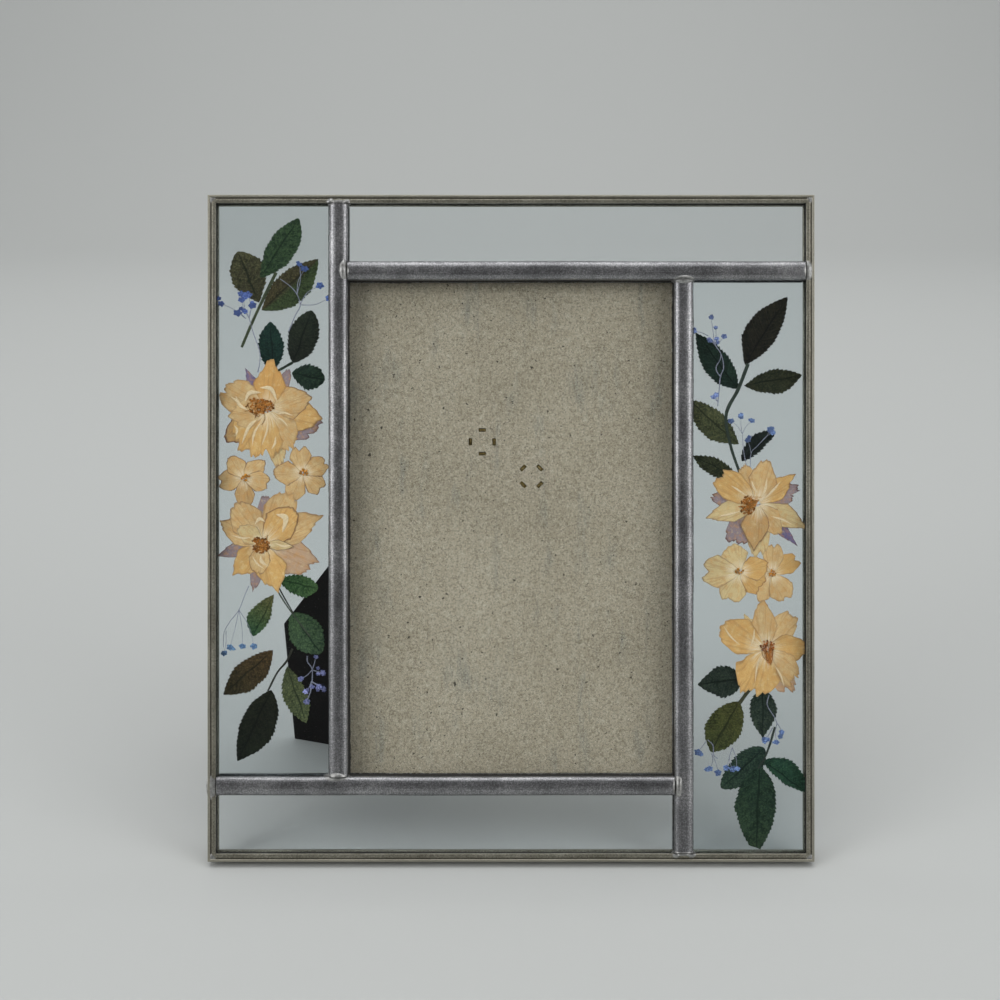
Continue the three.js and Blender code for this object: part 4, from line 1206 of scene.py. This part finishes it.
def bud_shape(centre, size):
    """A crumpled disc of five lobes: the radius is 1.2 size (0.86 + 0.14 cos 5a) with a random wobble."""
    rings, spokes = 6, 20
    angle = np.linspace(0, 2 * np.pi, spokes, endpoint=False)
    lobed = 1.2 * size * (0.86 + 0.14 * np.cos(5 * angle + rng.uniform(0, 6))) * (1 + wander(angle, 0.08, 5))
    share = np.array([0.05, 0.5, 1.0, 1.0, 0.5, 0.05])[:, None]
    squeeze = rng.uniform(0.7, 1.0)
    across = centre[0] + share * lobed * np.cos(angle)
    up = centre[1] + share * lobed * np.sin(angle) * squeeze
    lift = np.array([-0.12, -0.1, -0.02, 0.02, 0.06, 0.06])[:, None]
    depth = SPRAY_DEPTH + lift + 0.03 * np.sin(5 * angle)[None, :] * (share > 0.4) * (lift < 0)
    return ring_shape(np.stack([across, depth, up], axis=-1))


def spray(name, root, via, twigs, colour, size=1.0, hair=0.13):
    """A main stem through the via points, and a bowed twig to every bud from its fork on the stem."""
    stems = [stalk_shape([root, *via], hair * 1.25, SPRAY_DEPTH, 0.5, 30, 6)]
    buds = []
    for fork, ends in twigs:
        for end in ends:
            start, end = np.array(fork), np.array(end)
            bow = np.array([-(end - start)[1], (end - start)[0]]) * rng.uniform(-0.14, 0.14)
            path = [start, (start + end) / 2 + bow, end]
            stems.append(stalk_shape(path, hair, SPRAY_DEPTH, 0.5, 16, 6, 0.5))
            buds.append(bud_shape(end, size * rng.uniform(0.75, 1.1)))
            buds.append(bud_shape(end + rng.normal(0, 0.6 * size, 2), size * rng.uniform(0.5, 0.8)))
    plain_piece(f"stems_{name}", stems, stalk_finish, [STEM] * len(stems))
    shades = [np.array(colour) * rng.uniform(0.7, 1.2) for _ in buds]
    plain_piece(f"buds_{name}", buds, bud_finish, np.clip(shades, 0, 255))


spray(
    "left_top", (-67.1, 59.4),
    [(-65.2, 64.0), (-63.6, 67.2), (-64.6, 70.6), (-66.6, 73.0), (-69.6, 75.2)],
    [((-64.6, 70.6), [(-63.8, 79.6), (-62.2, 78.3)]), ((-63.7, 67.4), [(-57.6, 73.2), (-55.0, 69.4)])],
    (88, 112, 168),
)
spray(
    "left_edge", (-76.4, 47.0), [(-75.8, 50.2), (-75.9, 53.6), (-77.8, 59.0), (-79.0, 63.4)],
    [
        ((-79.0, 63.4), [(-80.6, 69.9), (-79.4, 70.4), (-81.4, 69.0), (-78.0, 67.2), (-80.2, 65.4)]),
        ((-80.0, 63.2), [(-87.4, 67.8), (-82.6, 65.0)]),
    ],
    DEEP_BLUE, size=1.1,
)
spray(
    "left_side", (-79.1, -17.4),
    [(-80.4, -20.4), (-82.1, -24.7), (-84.8, -28.2), (-86.6, -31.6), (-86.8, -36.0)],
    [
        ((-82.1, -24.7), [(-84.8, -35.9), (-81.0, -35.6), (-77.6, -35.6)]),
        ((-86.0, -31.0), [(-86.6, -37.8)]),
    ],
    SKY, size=1.0, hair=0.09,
)
spray(
    "left_low", (-61.5, -38.6), [(-61.4, -40.4), (-60.0, -42.8), (-60.3, -48.5), (-61.4, -51.6)],
    [
        ((-60.0, -42.8), [(-58.2, -44.0), (-56.7, -43.6), (-58.9, -38.8), (-63.5, -45.6)]),
        ((-60.2, -46.2), [(-62.0, -49.4), (-60.0, -47.9), (-57.9, -47.9), (-56.6, -48.3), (-61.6, -52.4)]),
    ],
    LILAC, size=0.85,
)
spray(
    "right_top", (62.4, 36.8), [(62.8, 41.0), (63.2, 45.6), (64.2, 48.6), (63.4, 52.6), (61.4, 55.6)],
    [
        ((61.4, 55.6), [(60.4, 63.6), (61.8, 60.6), (64.3, 57.9), (60.0, 56.7), (62.2, 57.2)]),
        ((62.4, 38.2), [(61.2, 39.6), (61.9, 40.2)]), ((59.6, 58.0), [(55.4, 59.4)]),
    ],
    (126, 140, 184), size=0.85,
)
spray(
    "right_top_loop", (63.4, 45.6),
    [(62.2, 47.2), (62.0, 48.8), (63.2, 51.0), (63.3, 52.8), (62.2, 54.4)],
    [((62.2, 54.4), [(59.8, 57.2)])], LILAC, size=0.6,
)
spray(
    "right_middle", (71.3, 17.8), [(70.2, 23.6), (69.9, 28.4)],
    [((69.9, 28.4), [(66.5, 32.4), (69.5, 33.6), (72.8, 32.4)])], BLUE, size=0.95, hair=0.09,
)
spray(
    "right_middle_twig", (72.2, 17.4), [(72.5, 22.6), (74.2, 24.6), (75.4, 25.9)],
    [((75.4, 25.9), [(78.2, 29.8), (79.0, 28.8)]), ((72.5, 22.6), [(71.4, 26.6)])], BLUE, size=0.9,
    hair=0.09,
)
spray(
    "right_low", (77.9, -50.4), [(77.4, -53.4), (79.5, -57.0), (80.3, -58.8)],
    [((80.3, -58.8), [(81.3, -62.8), (80.2, -64.6)]), ((79.0, -60.2), [(77.2, -63.8), (76.4, -63.6)])],
    BLUE, size=1.0,
)
spray(
    "right_foot", (59.4, -63.9), [(61.0, -65.6), (61.2, -68.4), (62.4, -69.6)],
    [
        ((60.6, -68.0), [(60.0, -72.6), (62.6, -73.8)]),
        ((66.8, -66.2), [(65.0, -72.4), (66.8, -72.8), (68.2, -72.6)]), ((59.0, -64.2), [(56.4, -67.6)]),
    ],
    BLUE, size=1.0,
)

# --- Backing board ----------------------------------------------------------------------------------------
# Greyboard pressed from waste paper: a warm grey full of fibres and dark specks, rubbed and smudged blue
# grey where pictures have lain against it. A painted shadow of the came darkens it in a band along the left,
# right and top of the sight. It slides in angle strips soldered on the back.


def eased_copy(node, name, width, material, body="frame"):
    """A merged copy of a CAD node, its flat faces made whole and its edges rounded, in its place."""
    shape = bmesh.new()
    shape.from_mesh(frame["nodes"][node].data)
    bmesh.ops.remove_doubles(shape, verts=shape.verts, dist=1e-6)
    bmesh.ops.dissolve_limit(shape, angle_limit=math.radians(1.0), verts=shape.verts, edges=shape.edges)
    mesh = bpy.data.meshes.new(name)
    shape.to_mesh(mesh)
    shape.free()
    mesh.materials.clear()
    mesh.materials.append(material)
    smoothed(mesh, 40.0)
    made = linked(name, mesh)
    bevel = made.modifiers.new("eased_edges", "BEVEL")
    bevel.width = width * MM
    bevel.segments = 2
    bevel.limit_method = "ANGLE"
    bevel.angle_limit = math.radians(35)
    bevel.harden_normals = True
    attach(made, body)
    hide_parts(node)


board_finish, wire = new_finish("greyboard")
place = bench_wire(wire)
pulp = noise(wire, place, 0.5, 6.0, 0.75)
clouds = noise(wire, place, 0.035, 3.0, 0.5)
fibres = noise(wire, stretched(wire, place, 2.2, 1.0, 0.5), 1.0, 5.0, 0.7)
smears = noise(wire, stretched(wire, place, 0.16, 1.0, 0.035), 1.0, 5.0, 0.65).step(0.52, 0.72)
specks = noise(wire, place, 0.85, 2.0, 0.4).step(0.72, 0.76)
grit = noise(wire, place, 1.9, 4.0, 0.75).step(0.5, 0.58)
gleam = noise(wire, place, 2.4, 3.0, 0.7).step(0.53, 0.61)
# Painted shadow: a darker band along the left, right and top of the sight, where the came shades the recessed
# board.
past_side = part(wire, place, 0).size() - SIGHT_ACROSS
past_top = part(wire, place, 2) - SIGHT_UP - 1.0
came_shadow_band = wire.math("MAXIMUM", past_side, past_top).step(-4.2, -3.6)
paper = (pulp * 0.45 + clouds * 0.25 + fibres * 0.3).colours(
    (0.32, rgb(134, 123, 103)), (0.5, rgb(166, 154, 134)), (0.68, rgb(190, 179, 160))
)
smudged = (smears * 0.55).over(paper, rgba(122, 124, 118))
gleaming = (gleam * 0.5).over(smudged, rgba(206, 196, 176))
peppered = (grit * 0.5).over(gleaming, rgba(94, 86, 70))
shadow_banded = (came_shadow_band * 0.1).over(peppered, rgba(84, 77, 63))
spotted = (specks * 0.85).over(shadow_banded, rgba(44, 40, 34))
finish(
    board_finish, wire, height=fibres * 0.6 + pulp * 0.6 - specks * 0.5, depth=0.12,
    Base_Color=spotted,
    Roughness=0.82 + pulp * 0.15,
    Specular_IOR_Level=MATT,
)
eased_copy("backing_board", "greyboard_back", 0.15, board_finish)

strip_finish, wire = new_finish("board_strip")
place = bench_wire(wire)
streaks = noise(wire, stretched(wire, place, 0.9, 0.9, 0.12), 1.0, 5.0, 0.65)
tarnish = noise(wire, place, 0.2, 4.0, 0.6)
finish(
    strip_finish, wire, height=streaks + tarnish * 0.5, depth=0.06,
    Base_Color=(streaks * 0.5 + tarnish * 0.5).colours(
        (0.3, rgb(84, 82, 76)), (0.52, rgb(116, 114, 108)), (0.72, rgb(150, 148, 142))
    ),
    Metallic=0.85,
    Roughness=0.34 + tarnish * 0.2,
)
for side in ("left", "right", "bottom"):
    eased_copy(f"board_channel_{side}", f"angle_strip_{side}", 0.1, strip_finish)

# --- Easel hinge and rivets -------------------------------------------------------------------------------
# Two pressed leaves of brassed steel turn on a wire pin. The board's leaf is held by two rivets whose four
# prongs come through the board and are hammered down on its front, where they have gone dark.

hinge_finish, wire = new_finish("hinge_metal")
place = bench_wire(wire)
tarnish = noise(wire, place, 0.3, 5.0, 0.65)
rub = noise(wire, stretched(wire, place, 1.6, 1.6, 0.4), 1.0, 4.0, 0.7)
finish(
    hinge_finish, wire, height=rub * 0.6 + tarnish, depth=0.05,
    Base_Color=(tarnish * 0.6 + rub * 0.4).colours(
        (0.3, rgb(84, 66, 40)), (0.5, rgb(150, 126, 76)), (0.72, rgb(186, 164, 112))
    ),
    Metallic=0.9,
    Roughness=0.3 + tarnish * 0.3,
)
eased_copy("hinge_board_leaf", "leaf_on_board", 0.1, hinge_finish)
eased_copy("hinge_pin", "wire_pin", 0.08, hinge_finish)
eased_copy("hinge_leg_leaf", "leaf_on_leg", 0.1, hinge_finish, "leg")
for side in ("upper", "lower"):
    dress(f"board_rivet_{side}", hinge_finish)
for side in ("left", "right"):
    dress(f"leg_rivet_{side}", hinge_finish)

# --- Easel leg --------------------------------------------------------------------------------------------
# Stiff board covered in black flocked paper, dusty and scuffed, with its corners cut so that the frame can
# stand either way up.

leg_finish, wire = new_finish("easel_board")
place = bench_wire(wire)
flock = noise(wire, place, 1.4, 5.0, 0.75)
dust = noise(wire, place, 0.12, 4.0, 0.7)
lint = noise(wire, place, 1.9, 2.0, 0.4).step(0.7, 0.76)
cover = (flock * 0.55 + dust * 0.45).colours(
    (0.34, rgb(5, 4, 3)), (0.52, rgb(14, 11, 9)), (0.7, rgb(36, 29, 26))
)
finish(
    leg_finish, wire, height=flock, depth=0.2,
    Base_Color=(lint * 0.55).over(cover, rgba(112, 104, 98)),
    Roughness=0.85 + flock * 0.12,
    Specular_IOR_Level=MATT,
)
eased_copy("easel_leg", "flocked_leg", 0.3, leg_finish, "leg")

# --- Floor and light --------------------------------------------------------------------------------------
# A plain pale floor that curves up far behind, two soft panels at the sides and one overhead, in a light
# tent with a dark opening at the front for the camera.

floor_finish, wire = new_finish("studio_floor")
finish(floor_finish, wire, Base_Color=rgba(188, 190, 188), Roughness=0.8)

FLOOR_HALF = 4.0
SWEEP_START = 1.6
SWEEP_RADIUS = 1.2
WALL_HEIGHT = 3.0
bend = np.linspace(0, np.pi / 2, 24)
curve_y = SWEEP_START + SWEEP_RADIUS * np.sin(bend)
profile_y = np.concatenate([[-FLOOR_HALF], curve_y, [SWEEP_START + SWEEP_RADIUS]])
profile_z = np.concatenate([[0], SWEEP_RADIUS * (1 - np.cos(bend)), [WALL_HEIGHT]])
side = np.array([-FLOOR_HALF, FLOOR_HALF])
floor_grid = np.broadcast_arrays(side[None, :], profile_y[:, None], profile_z[:, None])
floor_points = np.stack(floor_grid, axis=-1).reshape(-1, 3)
row = np.arange(len(profile_y) - 1) * 2
floor_mesh = bpy.data.meshes.new("floor")
floor_mesh.from_pydata(floor_points, [], np.stack([row, row + 1, row + 3, row + 2], axis=-1))
floor_mesh.polygons.foreach_set("use_smooth", np.ones(len(floor_mesh.polygons), bool))
floor_mesh.materials.append(floor_finish)
linked("floor", floor_mesh)


def soft_panel(name, place, size, power, aim=MIDDLE):
    """A square of soft light, aimed at the middle of the frame unless another place is given."""
    lamp = bpy.data.lights.new(name, "AREA")
    lamp.shape = "SQUARE"
    lamp.size = size
    lamp.energy = power
    panel = linked(name, lamp)
    panel.location = place
    panel.rotation_euler = (Vector(aim) - Vector(place)).to_track_quat("-Z", "Y").to_euler()


soft_panel("panel_backdrop", (0.0, 0.7, 1.9), 1.2, 22.0, (0.0, 2.8, 0.9))
soft_panel("panel_left", (-0.95, -0.75, 0.55), 0.6, 5.0)
soft_panel("panel_right", (0.95, -0.75, 0.5), 0.6, 4.2)
soft_panel("panel_top", (0.0, -0.25, 1.3), 0.9, 5.8)

world = bpy.data.worlds.new("light_tent")
world.use_nodes = True
bpy.context.scene.world = world
wire = Wire(world.node_tree)
direction = wire.node("TexCoord", {}, {}, outlet=0)
upward = part(wire, direction, 2)
facing = wire.node("VectorMath", {"operation": "DOT_PRODUCT"}, {0: direction, 1: -BACK}, outlet=1)
# The dark opening is left out where the camera looks straight at the tent.
seen = wire.node("LightPath", {}, {})
opening = facing.step(0.74, 0.88) * (1.0 - seen)
tent = (upward.step(-0.3, 0.9) * 0.36 + 0.31) * (1.0 - opening * 0.92)
background = world.node_tree.nodes["Background"]
world.node_tree.links.new(tent.socket, background.inputs["Strength"])
background.inputs["Color"].default_value = (0.97, 0.985, 1.0, 1.0)
bpy.context.scene.view_settings.view_transform = "Standard"
